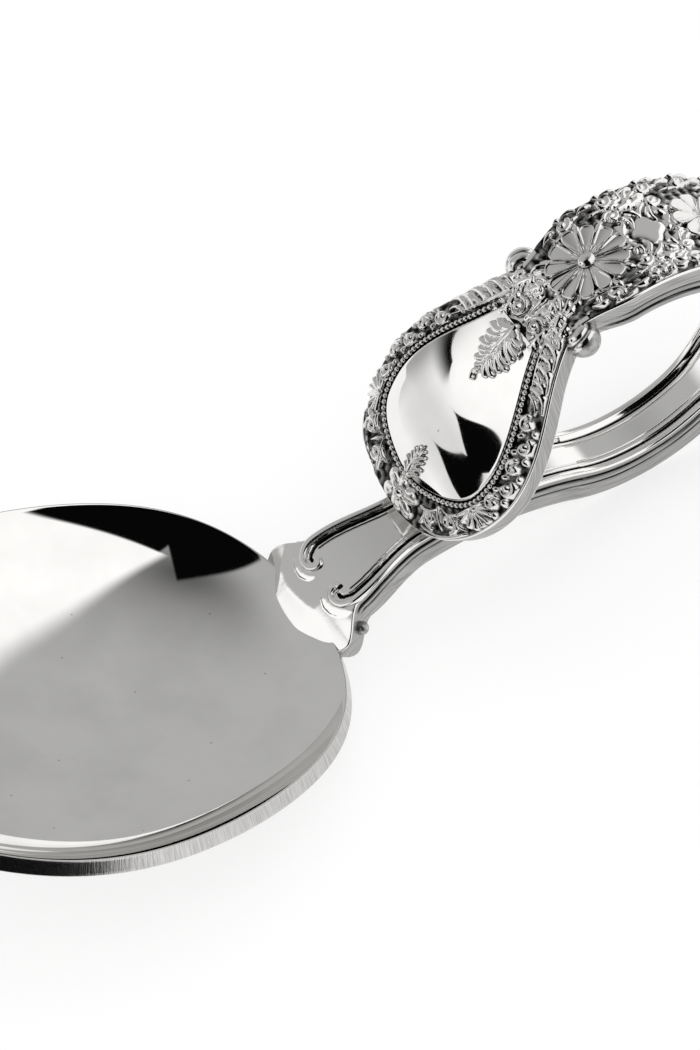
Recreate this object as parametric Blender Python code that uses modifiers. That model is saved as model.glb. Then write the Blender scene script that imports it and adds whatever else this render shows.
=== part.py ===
"""Baby spoon whose handle is bent into a finger loop, at real size in metres.

The spoon frame has X from the bowl's shoulder towards the handle, Y to the spoon's left and Z square to
the rim of the bowl. An empty carries that frame at the tilt at which the spoon lies on a table, and the
world origin is under the middle of the spoon, on the table.

The handle is one strap with a mid-line in the X-Z plane. It leaves the bowl, runs along the stem, turns
once round the finger loop and comes down as a pear-shaped shield whose tip stands over the stem. A place
on it is (s, y, h): the distance along the mid-line, the distance to the left, and the height over the
mid-line towards the back, which is the outside of the loop.
"""

import math

import bmesh
import bpy
import numpy as np

MM = 0.001

# Bowl
BOWL_LENGTH = 37.7 * MM
BOWL_WIDTH = 28.8 * MM
BOWL_DEPTH = 4.5 * MM  # rim plane to the inside of the bottom
BOWL_WALL = 1.05 * MM
BOWL_EGG = 0.22  # how much fuller the rim is towards the shoulder
BOWL_DISH = 0.5  # shares of the depth that rise with the 2nd, 4th and 12th power of the radius
BOWL_SIDE = 0.25
BOWL_LIP = 1.0 - BOWL_DISH - BOWL_SIDE

# Mid-line of the strap
FOOT_X = -1.0 * MM  # where the mid-line leaves the bowl
FOOT_Z = -1.45 * MM
NECK_RISE = math.radians(48)
NECK_PULL = 7.0 * MM  # handles of the curve between the bowl and the ring
RING_PULL = 8.0 * MM
RING_X = 20.2 * MM
RING_Z = 15.0 * MM
RING_RADIUS = 10.1 * MM
RING_START = math.radians(-100)
RING_END = math.radians(158)
TIP_GAP = 0.7 * MM  # between the shield's tip and the stem under it

# Thickness of the strap
FOOT_THICK = 1.6 * MM
NECK_THICK = 2.5 * MM
RING_THICK = 2.3 * MM
SHIELD_THICK = 1.3 * MM

# Half widths of the strap, and the places along it where they hold
TONGUE_REACH = 1.9 * MM  # from the tongue's front to its full width
TONGUE_HALF = 4.55 * MM
NECK_AT = 4.3 * MM
NECK_HALF = 2.95 * MM
STEM_HALF = 2.1 * MM
STEM_AT = 9.5 * MM
LOOP_HALF = 1.9 * MM
LOOP_WIDENS = math.radians(-50)
BAND_FULL = math.radians(70)
BAND_HALF = 3.95 * MM
BAND_NARROWS = math.radians(112)
WAIST = math.radians(134.5)
WAIST_HALF = 3.15 * MM
SHIELD_HALF = 7.2 * MM
SHIELD_SWELL = 1.2  # power of the way down from the waist: the larger, the later the shield swells
SHIELD_ROUND = 7.3 * MM  # from the shield's widest place to its tip
SHIELD_BLUNT = 2.05  # power of the rounded end: 2 is an ellipse

# Section of the strap
SHIELD_CROWN = 1.0 * MM  # middle of the shield's domed back over its edges
CROWN_POWER = 3  # the larger, the flatter the middle of the dome
EDGE_BREAK = 0.15 * MM
FRONT_EDGE = 0.42 * MM  # raised edges along the front face
FRONT_SLOPE = 0.15 * MM
FRONT_CHANNEL = 0.24 * MM
THREAD_RADIUS = 0.2 * MM

# Pieces meet face to face across a film of solder
SOLDER_FILM = 0.05 * MM
ORNAMENT_GAP = 0.1 * MM  # least distance between ornaments side by side
JOINT_SHOULDER = 4.4 * MM  # shoulder to stem

# Shield face
PLAIN_RIM = 0.25 * MM
SIDE_BORDER = 1.75 * MM  # outline to the bead row
TOE_BORDER = 2.75 * MM
TOE_BLEND = 5.0 * MM
BEAD_RADIUS = 0.2 * MM
BEAD_PITCH = 0.55 * MM
BEAD_NECK = 0.6
PANEL_THICK = 0.25 * MM
PANEL_TOP = 1.7 * MM  # above the end of the ring
PANEL_FLAT = 0.9  # share of the panel's width that is flat on top
BORDER_HEIGHT = 0.55 * MM
LEAF_PITCH = 1.9 * MM
BORDER_TOP = 0.9 * MM  # from the waist down to the top of the leaf borders
BORDER_END = 6.0 * MM  # from the tip up to the foot of the leaf borders
SHELL_AT = 4.3 * MM  # from the tip up to the middle of the toe shells
SHELL_HEIGHT = 0.6 * MM
SHELL_RIBS = 8
SHELL_NOTCH = 0.12  # notches are shares of an outline's radius
SCROLL_EYE_AT = 1.85 * MM  # from the tip up to the middle of the toe scrolls
SCROLL_EYE_RATIO = 1.35  # length of a toe scroll over its width
FLOWER_HEIGHT = 0.6 * MM
FLOWER_PETALS = 6
FLOWER_FURROW = 0.6  # furrows between petals are shares of a flower's height
TOE_LEAF_LENGTH = 2.3 * MM
TOE_LEAF_HALF = 0.65 * MM
WAIST_LEAF_LENGTH = 4.0 * MM
WAIST_LEAF_HALF = 1.4 * MM
LEAF_HEIGHT = 0.45 * MM
LEAF_LOBES = 9
LOBE_DEPTH = 0.12  # share of a leaf's reach between its lobes and the gaps between them
VOLUTE_RADIUS = 0.72 * MM
VOLUTE_HEIGHT = 0.6 * MM

# Leaf strips
LEAF_DIP = 0.4  # share of a strip's height lost between two leaves
LEAF_PINCH = 0.3  # share of a strip's width lost with it

# Loop band
SCROLL_WIDTH = 1.05 * MM
SCROLL_HEIGHT = 0.5 * MM
SCROLL_PITCH = 1.7 * MM
SCROLL_START = math.radians(38)
SCROLL_END = math.radians(128)
ROSETTE_AT = math.radians(117.4)
ROSETTE_PETALS = 12
ROSETTE_NOTCH = 0.15
PETAL_FURROW = 0.5
ROSETTE_HEIGHT = 0.5 * MM
BOSS_RADIUS = 0.62 * MM
BOSS_HEIGHT = 0.45 * MM
LOZENGE_AT = math.radians(94)
LOZENGE_LENGTH = 2.6 * MM
LOZENGE_HALF = 1.5 * MM
LOZENGE_HEIGHT = 0.25 * MM
LOZENGE_CORNERS = 4
SMALL_FLOWER_AT = math.radians(74)
SMALL_FLOWER_RADIUS = 2.0 * MM
SMALL_FLOWER_PETALS = 8
SMALL_FLOWER_NOTCH = 0.2
KNOP_RADIUS = 0.9 * MM

# Front of the stem
CURL_AT = 4.0 * MM
CURL_INSET = 1.15 * MM  # from the thread's run to the end of its curl
EAR_RADIUS = 0.4 * MM
EAR_AT = 3.3 * MM

# Rest faces worn flat under the bowl and the loop
REST_WEAR = 0.13 * MM
CUTTER_MARGIN = 10 * MM
STEEPEST_REST = math.radians(60)

# Fineness of the meshes
WELD = 1e-6
SMOOTH_ANGLE = math.radians(35)
PATH_POINTS = 400
TILT_STEP = 1e-9
CROWN_STEPS = 10  # across the back of the strap
BOWL_GATHER = 1.6  # how far the bowl's rows gather towards its rim
BOWL_SPOKES = 56
BOWL_ROWS = 12
LEAF_STEPS = 6  # along each leaf of a strip
STRIP_SIDES = 10
PANEL_ROWS = 18
PETAL_STEPS = 6  # round each petal, rib or lobe
DOME_RINGS = 8
BALL_STEPS = 16

# Finishes: base colour, roughness
MIRROR = ((0.80, 0.80, 0.79), 0.06)
POLISHED = ((0.74, 0.74, 0.73), 0.14)
STRUCK = ((0.58, 0.58, 0.57), 0.24)


def unit(vectors):
    """Vectors along the last axis, brought to length one."""
    return vectors / np.linalg.norm(vectors, axis=-1, keepdims=True)


def eased(at, stations):
    """Value at each place, easing with a smoothstep from one (place, value) station to the next."""
    places, values = np.array(stations).T
    index = np.clip(np.searchsorted(places, at) - 1, 0, len(places) - 2)
    share = np.clip((at - places[index]) / (places[index + 1] - places[index]), 0, 1)
    return values[index] + (values[index + 1] - values[index]) * share**2 * (3 - 2 * share)


def along(points):
    """Distance of each point of a polyline from its first point."""
    steps = np.linalg.norm(np.diff(points, axis=0), axis=1)
    return np.concatenate([[0], np.cumsum(steps)])


# Mid-line of the strap

def ring_point(angle):
    """Point of the ring's mid-line in the X-Z plane."""
    return np.array([RING_X, RING_Z]) + RING_RADIUS * np.array([math.cos(angle), math.sin(angle)])


def ring_direction(angle):
    """Direction of travel round the ring."""
    return np.array([-math.sin(angle), math.cos(angle)])


def neck_points():
    """Cubic Bezier from the bowl's foot, rising at NECK_RISE, into the start of the ring."""
    foot = np.array([FOOT_X, FOOT_Z])
    end = ring_point(RING_START)
    rise = foot + NECK_PULL * np.array([math.cos(NECK_RISE), math.sin(NECK_RISE)])
    run_in = end - RING_PULL * ring_direction(RING_START)
    t = np.linspace(0, 1, PATH_POINTS)[:, None]
    return (1 - t)**3 * foot + 3 * (1 - t)**2 * t * rise + 3 * (1 - t) * t**2 * run_in + t**3 * end


def shield_length(neck):
    """How far the straight shield runs from the ring until its tip clears the neck by TIP_GAP."""
    run = np.linspace(0, 2 * RING_RADIUS, PATH_POINTS)
    direction = ring_direction(RING_END)
    front = np.array([-direction[1], direction[0]]) * SHIELD_THICK / 2
    tips = ring_point(RING_END) + run[:, None] * direction + front
    clear = np.linalg.norm(tips[:, None] - neck[None], axis=2).min(axis=1) - NECK_THICK / 2
    return run[np.argmax(clear < TIP_GAP)]


def mid_line():
    """Points of the whole mid-line, with a straight lead before the foot, and the stations on it."""
    neck = neck_points()
    lead = neck[0] - CUTTER_MARGIN * unit(neck[1] - neck[0])
    angles = np.linspace(RING_START, RING_END, PATH_POINTS)[1:]
    ring = np.array([ring_point(angle) for angle in angles])
    tip = ring[-1] + shield_length(neck) * ring_direction(RING_END)
    past_tip = tip + CUTTER_MARGIN * ring_direction(RING_END)
    points = np.vstack([lead, neck, ring, tip, past_tip])
    s = along(points) - CUTTER_MARGIN
    return points, s, s[len(neck)], s[-3], s[-2]


PATH, PATH_S, S_RING, S_RING_END, S_TIP = mid_line()
DIRECTION = unit(np.gradient(PATH, PATH_S, axis=0))


def ring_station(angle):
    """Distance along the mid-line to an angle of the ring."""
    return S_RING + (angle - RING_START) * (S_RING_END - S_RING) / (RING_END - RING_START)


S_WAIST = ring_station(WAIST)
S_WIDEST = S_TIP - SHIELD_ROUND


def on_strap(s, y, h):
    """Points of the spoon frame at distance s along the mid-line, y to the left and h towards the back."""
    s, y, h = np.broadcast_arrays(s, y, h)
    x, z = (np.interp(s, PATH_S, PATH[:, axis]) for axis in (0, 1))
    run = unit(np.stack([np.interp(s, PATH_S, DIRECTION[:, axis]) for axis in (0, 1)], axis=-1))
    return np.stack([x + h * run[..., 1], y, z - h * run[..., 0]], axis=-1)


def thickness(s):
    """Thickness of the strap at each distance along it."""
    return eased(s, [(0, FOOT_THICK), (NECK_AT, NECK_THICK), (S_RING, RING_THICK),
                     (ring_station(BAND_NARROWS), RING_THICK), (S_RING_END, SHIELD_THICK)])


def pear(s):
    """Half width of the shield from the waist down, before its end is rounded off."""
    swell = np.clip((s - S_WAIST) / (S_WIDEST - S_WAIST), 0, 1)**SHIELD_SWELL
    return WAIST_HALF + (SHIELD_HALF - WAIST_HALF) * np.sin(swell * math.pi / 2)


def toe_share(s):
    """How far along the rounded end of the shield a place is: 0 at its widest, 1 at its tip."""
    return np.clip((s - S_WIDEST) / SHIELD_ROUND, 0, 1)


def half_width(s):
    """Half width of the strap: a rounded tongue, the stem, the loop, its band, the waist and the shield."""
    tongue = TONGUE_HALF * np.sqrt(1 - (1 - np.clip(s / TONGUE_REACH, 0, 1))**2)
    body = eased(s, [(TONGUE_REACH, TONGUE_HALF), (NECK_AT, NECK_HALF), (STEM_AT, STEM_HALF),
                     (S_RING, LOOP_HALF), (ring_station(LOOP_WIDENS), LOOP_HALF),
                     (ring_station(BAND_FULL), BAND_HALF), (ring_station(BAND_NARROWS), BAND_HALF),
                     (S_WAIST, WAIST_HALF)])
    end = (1 - toe_share(s)**SHIELD_BLUNT)**(1 / SHIELD_BLUNT)
    return np.where(s < TONGUE_REACH, tongue, np.where(s > S_WAIST, pear(s) * end, body))


def crown(s, y):
    """Height of the shield's domed back over its edges, growing from the waist to the widest place."""
    rise = eased(s, [(S_WAIST, 0.0), (S_WIDEST, SHIELD_CROWN)])
    fall = np.abs(y / pear(s))**CROWN_POWER + toe_share(s)**CROWN_POWER
    return rise * np.clip(1 - fall, 0, 1)


def back(s, y):
    """Height of the face that ornaments on the back of the strap are soldered to."""
    return thickness(s) / 2 + crown(s, y) + SOLDER_FILM


# Objects and meshes

def clear_scene():
    """Removes every object and gives the two collections and the empty that carries the spoon frame."""
    for obj in list(bpy.data.objects):
        bpy.data.objects.remove(obj)
    collections = []
    for name in ("baby_spoon", "cutters"):
        collection = bpy.data.collections.new(name)
        bpy.context.scene.collection.children.link(collection)
        collections.append(collection)
    spoon_frame = bpy.data.objects.new("spoon_frame", None)
    collections[0].objects.link(spoon_frame)
    return collections[0], collections[1], spoon_frame


PARTS, CUTTERS, SPOON_FRAME = clear_scene()


def silver(name, finish):
    """A silver of its own for one piece."""
    colour, roughness = finish
    material = bpy.data.materials.new(name + "_silver")
    material.use_nodes = True
    shader = material.node_tree.nodes["Principled BSDF"]
    shader.inputs["Base Color"].default_value = (*colour, 1)
    shader.inputs["Metallic"].default_value = 1
    shader.inputs["Roughness"].default_value = roughness
    return material


def add_piece(name, data, finish):
    """An object of the spoon, in the spoon frame."""
    data.materials.append(silver(name, finish))
    obj = bpy.data.objects.new(name, data)
    obj.parent = SPOON_FRAME
    PARTS.objects.link(obj)
    return obj


def add_cutter(obj):
    """Moves an object to the cutters, which aren't part of the spoon."""
    for collection in list(obj.users_collection):
        collection.objects.unlink(obj)
    CUTTERS.objects.link(obj)
    obj.hide_render = True
    obj.display_type = "WIRE"
    return obj


def cut(obj, cutter):
    """Takes a cutter's shape out of a piece."""
    boolean = obj.modifiers.new("cut by " + cutter.name, "BOOLEAN")
    boolean.operation = "DIFFERENCE"
    boolean.solver = "EXACT"
    boolean.object = cutter


def mesh_of(name, bm):
    """A smooth-shaded mesh from a bmesh, with its faces pointing out."""
    bmesh.ops.recalc_face_normals(bm, faces=bm.faces)
    if bm.calc_volume(signed=True) < 0:
        bmesh.ops.reverse_faces(bm, faces=bm.faces)
    mesh = bpy.data.meshes.new(name)
    bm.to_mesh(mesh)
    bm.free()
    mesh.shade_smooth()
    mesh.set_sharp_from_angle(angle=SMOOTH_ANGLE)
    return mesh


def grid_mesh(name, runs, sides, place, capped=True):
    """A grid carried along a run and round a section by place(u, v), its seam welded and its ends capped."""
    bm = bmesh.new()
    bmesh.ops.create_grid(bm, x_segments=runs, y_segments=sides, size=0.5)
    uv = np.array([vert.co[:2] for vert in bm.verts]) + 0.5
    for vert, point in zip(bm.verts, place(uv[:, 0], uv[:, 1])):
        vert.co = point
    bmesh.ops.remove_doubles(bm, verts=bm.verts, dist=WELD)
    if capped:
        bmesh.ops.holes_fill(bm, edges=bm.edges, sides=0)
    return mesh_of(name, bm)


def sphere_mesh(name, segments, rings, place):
    """A sphere whose points, given as unit vectors, are moved by place(points)."""
    bm = bmesh.new()
    bmesh.ops.create_uvsphere(bm, u_segments=segments, v_segments=rings, radius=1)
    for vert, point in zip(bm.verts, place(np.array([vert.co[:] for vert in bm.verts]))):
        vert.co = point
    return mesh_of(name, bm)


def wire(name, points, radius, radii, finish):
    """A round wire through points, with its radius scaled at each of them."""
    curve = bpy.data.curves.new(name, "CURVE")
    curve.dimensions = "3D"
    curve.bevel_depth = radius
    curve.bevel_resolution = 1
    curve.use_fill_caps = True
    spline = curve.splines.new("POLY")
    spline.points.add(len(points) - 1)
    for knot, point, scale in zip(spline.points, points, radii):
        knot.co = (*point, 1)
        knot.radius = scale
    return add_piece(name, curve, finish)


# Bowl

def bowl_inside(angle, radius):
    """Inner face of the bowl: an egg-shaped rim, and a depth that rises with powers of the radius."""
    turn = np.cos(angle)
    x = BOWL_LENGTH / 2 * (radius * turn - 1)
    y = BOWL_WIDTH / 2 * radius * np.sin(angle) * (1 + BOWL_EGG * turn**3)
    rise = BOWL_DISH * radius**2 + BOWL_SIDE * radius**4 + BOWL_LIP * radius**12
    return np.stack([x, y, BOWL_DEPTH * (rise - 1)], axis=-1)


def make_bowl():
    """The inner face of the bowl, thickened outwards."""
    def place(u, v):
        return bowl_inside(2 * math.pi * u, 1 - (1 - v)**BOWL_GATHER)

    mesh = grid_mesh("bowl", BOWL_SPOKES, BOWL_ROWS, place, capped=False)
    if mesh.polygons[0].normal.z < 0:
        mesh.flip_normals()
    bowl = add_piece("bowl", mesh, MIRROR)
    wall = bowl.modifiers.new("wall", "SOLIDIFY")
    wall.thickness = BOWL_WALL
    wall.offset = -1
    wall.use_even_offset = True
    return bowl


# Strap pieces

def front_profile(half, thick):
    """Front half of the strap's section, left to right: raised edges with a thread in a channel between."""
    inner = half - FRONT_EDGE
    floor = inner - FRONT_SLOPE
    ridge = floor - THREAD_RADIUS
    face = -thick / 2
    sunk = face + FRONT_CHANNEL
    edge = [(half, face + EDGE_BREAK), (half - EDGE_BREAK, face), (inner, face), (floor, sunk),
            (ridge, face + EDGE_BREAK), (ridge - THREAD_RADIUS, sunk)]
    return edge + [(-y, h) for y, h in reversed(edge)]


def plain_profile(half, thick):
    """Front half of a plain section with broken edges."""
    edge = [(half, EDGE_BREAK - thick / 2), (half - min(EDGE_BREAK, half), -thick / 2)]
    return edge + [(-y, h) for y, h in reversed(edge)]


def back_profile(s, half, thick):
    """Back half of the strap's section, right to left: broken edges, and the crown between them."""
    inner = half - min(EDGE_BREAK, half)
    y = np.linspace(-inner, inner, CROWN_STEPS + 1)
    face = [(place, thick / 2 + crown(s, place)) for place in y]
    return [(-half, thick / 2 - EDGE_BREAK)] + face + [(half, thick / 2 - EDGE_BREAK)]


def strap_mesh(name, s, front, grow=0.0, thick=None):
    """Strap between the first and last of the distances s, its front from a profile and its back crowned."""
    sections = []
    for place in s:
        half = half_width(place) + grow
        depth = thickness(place) if thick is None else thick
        section = front(half, depth) + back_profile(place, half, depth)
        sections.append(section + section[:1])
    sections = np.array(sections)

    def place_on(u, v):
        run = np.rint(u * (len(s) - 1)).astype(int)
        turn = np.rint(v * (sections.shape[1] - 1)).astype(int)
        y, h = sections[run, turn].T
        return on_strap(s[run], y, h)

    return grid_mesh(name, len(s) - 1, sections.shape[1] - 1, place_on)


def span(start, end, count):
    """Even distances between two joints, half a film inside each."""
    return np.linspace(start + SOLDER_FILM / 2, end - SOLDER_FILM / 2, count)


def make_shoulder(bowl):
    """The tongue that joins the stem to the bowl, let into a notch of its own outline."""
    rounded = TONGUE_REACH * (1 - np.cos(np.linspace(0, math.pi / 2, 9)))
    tail = np.linspace(TONGUE_REACH, JOINT_SHOULDER - SOLDER_FILM / 2, 6)[1:]
    mesh = strap_mesh("shoulder", np.concatenate([rounded, tail]), plain_profile)
    add_piece("shoulder", mesh, POLISHED)
    notch = strap_mesh("shoulder_notch", np.concatenate([[-SOLDER_FILM], rounded, tail]), plain_profile,
                       grow=SOLDER_FILM, thick=BOWL_DEPTH + 2 * BOWL_WALL)
    cutter = bpy.data.objects.new("shoulder_notch", notch)
    cutter.parent = SPOON_FRAME
    cut(bowl, add_cutter(cutter))


def make_stem():
    """The flat panel between the shoulder and the ring."""
    mesh = strap_mesh("stem", span(JOINT_SHOULDER, S_RING, 18), plain_profile)
    add_piece("stem", mesh, POLISHED)


def make_loop():
    """The ring that a finger goes through, broad on top, with threads along its inner face."""
    mesh = strap_mesh("loop", span(S_RING, S_WAIST, 60), front_profile)
    return add_piece("loop", mesh, POLISHED)


def make_shield():
    """The pear-shaped plate that ends the handle."""
    upper = np.linspace(S_WAIST + SOLDER_FILM / 2, S_WIDEST, 14)
    lower = S_WIDEST + SHIELD_ROUND * np.sin(np.linspace(0, math.pi / 2, 14))[1:]
    mesh = strap_mesh("shield", np.concatenate([upper, lower]), plain_profile)
    add_piece("shield", mesh, POLISHED)


# Outlines on the face of the shield

def shield_outline(inset):
    """Left half of the shield's outline from waist to tip as (s, y), moved in by inset(distance to tip)."""
    turn = np.linspace(math.pi / 2, 0, PATH_POINTS)
    round_s = S_WIDEST + SHIELD_ROUND * np.cos(turn)**(2 / SHIELD_BLUNT)
    s = np.concatenate([np.linspace(S_WAIST, S_WIDEST, PATH_POINTS)[:-1], round_s])
    edge = np.stack([s, half_width(s)], axis=-1)
    whole = np.vstack([edge, (edge * [1, -1])[-2:-4:-1]])
    run = unit(np.gradient(whole, along(whole), axis=0))[:len(edge)]
    return edge + np.stack([-run[:, 1], run[:, 0]], axis=-1) * -inset(S_TIP - s)[:, None]


def bead_inset(from_tip):
    """Distance from the outline to the bead row, greater at the toe."""
    return eased(from_tip, [(0, TOE_BORDER), (TOE_BLEND, SIDE_BORDER)])


def panel_outline(s):
    """Half width of the mirror panel inside the bead row."""
    edge = shield_outline(lambda d: bead_inset(d) + BEAD_RADIUS + ORNAMENT_GAP)
    return np.interp(s, edge[:, 0], edge[:, 1])


def make_panel():
    """The plain mirror panel of the shield: a plate of its outline with sloping edges."""
    top = S_RING_END - PANEL_TOP
    foot = S_TIP - TOE_BORDER - BEAD_RADIUS - ORNAMENT_GAP
    s = top + (foot - top) * np.sin(np.linspace(0, math.pi / 2, PANEL_ROWS + 1))
    half = panel_outline(s)
    top_face = np.linspace(PANEL_FLAT, -PANEL_FLAT, CROWN_STEPS + 1)
    under_face = np.linspace(-1, 1, CROWN_STEPS + 1)
    section = np.array([(1, 0)] + [(y, 1) for y in top_face] + [(y, 0) for y in under_face])

    def place(u, v):
        run = np.rint(u * PANEL_ROWS).astype(int)
        across, rise = section[np.rint(v * (len(section) - 1)).astype(int)].T
        y = half[run] * across
        return on_strap(s[run], y, back(s[run], y) + PANEL_THICK * rise)

    mesh = grid_mesh("shield_panel", PANEL_ROWS, len(section) - 1, place)
    add_piece("shield_panel", mesh, MIRROR)


def make_bead_row():
    """One beaded wire round the sides and foot of the panel."""
    edge = shield_outline(bead_inset)
    edge = edge[edge[:, 0] > S_RING_END - PANEL_TOP]
    whole = np.vstack([edge, (edge * [1, -1])[-2::-1]])
    distance = along(whole)
    beads = int(distance[-1] / BEAD_PITCH)
    at = np.linspace(0, distance[-1], 2 * beads + 1)
    s, y = (np.interp(at, distance, whole[:, axis]) for axis in (0, 1))
    radii = np.where(np.arange(len(at)) % 2, 1, BEAD_NECK)
    wire("bead_row", on_strap(s, y, back(s, y) + BEAD_RADIUS), BEAD_RADIUS, radii, STRUCK)


# Ornaments

def relief_strip(name, inner, outer, height, pitch):
    """A leafy strip between two lines of (s, y): a D section that swells into a leaf at each pitch."""
    length = along((inner + outer) / 2)[-1]
    leaves = max(int(length / pitch), 1)

    def place(u, v):
        turn = 2 * math.pi * v
        end = np.sqrt(np.clip(np.sin(math.pi * u), 0, 1))
        dip = 1 - np.abs(np.sin(math.pi * leaves * u))
        across = 0.5 - 0.5 * np.cos(turn) * end * (1 - LEAF_PINCH * dip)
        knot = u * (len(inner) - 1)
        index = np.arange(len(inner))
        low, high = (np.stack([np.interp(knot, index, line[:, axis]) for axis in (0, 1)], axis=-1)
                     for line in (inner, outer))
        s, y = (low + (high - low) * across[:, None]).T
        rise = height * (1 - LEAF_DIP * dip) * end * np.clip(np.sin(turn), 0, 1)
        return on_strap(s, y, back(s, y) + rise)

    add_piece(name, grid_mesh(name, LEAF_STEPS * leaves, STRIP_SIDES, place), STRUCK)


def relief_dome(name, s, y, reach, height, segments, finish=STRUCK, base=0.0):
    """A boss with a flat foot on the back face, its outline from reach(angle), its top from height."""
    def place(points):
        turn = np.arctan2(points[:, 1], points[:, 0])
        radius = np.hypot(points[:, 0], points[:, 1])
        over = np.clip(points[:, 2], 0, 1)
        at = s + reach(turn) * radius * np.cos(turn)
        across = y + reach(turn) * radius * np.sin(turn)
        return on_strap(at, across, back(at, across) + base + height(turn, radius) * over)

    add_piece(name, sphere_mesh(name, segments, DOME_RINGS, place), finish)


def disc(radius):
    """Outline of a plain round boss."""
    return lambda turn: radius


def petals(count, radius, notch):
    """Outline of a flower: a circle with a notch between each pair of petals."""
    return lambda turn: radius * (1 - notch * (1 - np.abs(np.cos(count * turn / 2))))


def petal_tops(count, height, furrow):
    """Height of a flower: furrows between petals that fade towards the middle."""
    return lambda turn, radius: height * (1 - furrow * radius * (1 - np.abs(np.cos(count * turn / 2))))


def leaf(length, half, lobes):
    """Outline of a leaf along the strap, with lobes round its edge."""
    def reach(turn):
        oval = 1 / np.sqrt((np.cos(turn) / (length / 2))**2 + (np.sin(turn) / half)**2)
        return oval * (1 - LOBE_DEPTH * (1 - np.cos(lobes * turn)))

    return reach


def even(height):
    """Height of a plain dome."""
    return lambda turn, radius: height


def make_leaf_borders():
    """The leaf strips down both sides of the shield, from the waist to the toe shells."""
    outer = shield_outline(lambda d: np.full_like(d, PLAIN_RIM))
    inner = shield_outline(lambda d: bead_inset(d) - BEAD_RADIUS - ORNAMENT_GAP)
    middle = outer[:, 0]
    kept = (middle > S_WAIST + BORDER_TOP) & (middle < S_TIP - BORDER_END)
    for side, mirror in (("left", [1, 1]), ("right", [1, -1])):
        relief_strip(side + "_leaf_border", inner[kept] * mirror, outer[kept] * mirror, BORDER_HEIGHT,
                     LEAF_PITCH)


def border_middle(from_tip):
    """Middle of the left border at a distance up from the tip as (s, y), and the width it has there."""
    border = shield_outline(lambda d: (PLAIN_RIM + bead_inset(d) - BEAD_RADIUS - ORNAMENT_GAP) / 2)
    s, y = border[np.argmin(np.abs(S_TIP - from_tip - border[:, 0]))]
    width = bead_inset(np.array([from_tip]))[0] - BEAD_RADIUS - 2 * ORNAMENT_GAP - PLAIN_RIM
    return s, y, width


def make_toe_shells():
    """A shell and a scroll on each side of the toe flower, filling the border between rim and bead row."""
    for side, sign in (("left", 1), ("right", -1)):
        s, y, width = border_middle(SHELL_AT)
        relief_dome(side + "_toe_shell", s, sign * y, petals(SHELL_RIBS, width / 2, SHELL_NOTCH),
                    even(SHELL_HEIGHT), PETAL_STEPS * SHELL_RIBS)
        s, y, width = border_middle(SCROLL_EYE_AT)
        relief_dome(side + "_toe_scroll", s, sign * y, leaf(width, width / 2 * SCROLL_EYE_RATIO, 2),
                    even(SHELL_HEIGHT), PETAL_STEPS * SHELL_RIBS)


def make_toe_flower():
    """The flower between the toe scrolls, and the leaf that rises from it over the panel."""
    radius = (TOE_BORDER - BEAD_RADIUS - ORNAMENT_GAP - PLAIN_RIM) / 2
    scroll_y, scroll_width = border_middle(SCROLL_EYE_AT)[1:]
    half = scroll_y - SCROLL_EYE_RATIO * scroll_width / 2 - ORNAMENT_GAP
    relief_dome("toe_flower", S_TIP - PLAIN_RIM - radius, 0, leaf(2 * radius, half, FLOWER_PETALS),
                petal_tops(FLOWER_PETALS, FLOWER_HEIGHT, FLOWER_FURROW), PETAL_STEPS * FLOWER_PETALS)
    foot = S_TIP - TOE_BORDER - BEAD_RADIUS - 2 * ORNAMENT_GAP
    relief_dome("toe_leaf", foot - TOE_LEAF_LENGTH / 2, 0, leaf(TOE_LEAF_LENGTH, TOE_LEAF_HALF, LEAF_LOBES),
                even(LEAF_HEIGHT), PETAL_STEPS * LEAF_LOBES, base=PANEL_THICK + SOLDER_FILM)


def make_waist_leaf():
    """The leaf that hangs over the top of the panel, and the pair of volutes it hangs from."""
    top = S_RING_END - PANEL_TOP
    relief_dome("waist_leaf", top + ORNAMENT_GAP + WAIST_LEAF_LENGTH / 2, 0,
                leaf(WAIST_LEAF_LENGTH, WAIST_LEAF_HALF, LEAF_LOBES), even(LEAF_HEIGHT),
                PETAL_STEPS * LEAF_LOBES, base=PANEL_THICK + SOLDER_FILM)
    for side, sign in (("left", 1), ("right", -1)):
        relief_dome(side + "_volute", top - ORNAMENT_GAP - VOLUTE_RADIUS,
                    sign * (VOLUTE_RADIUS + ORNAMENT_GAP), disc(VOLUTE_RADIUS), even(VOLUTE_HEIGHT),
                    BALL_STEPS)


def make_band_scrolls():
    """The scrolled strips along both edges of the loop's broad top."""
    s = np.linspace(ring_station(SCROLL_START), ring_station(SCROLL_END), PATH_POINTS)
    outer = np.stack([s, half_width(s) - PLAIN_RIM], axis=-1)
    inner = outer - [0, SCROLL_WIDTH]
    for side, mirror in (("left", [1, 1]), ("right", [1, -1])):
        relief_strip(side + "_band_scroll", inner * mirror, outer * mirror, SCROLL_HEIGHT, SCROLL_PITCH)


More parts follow.
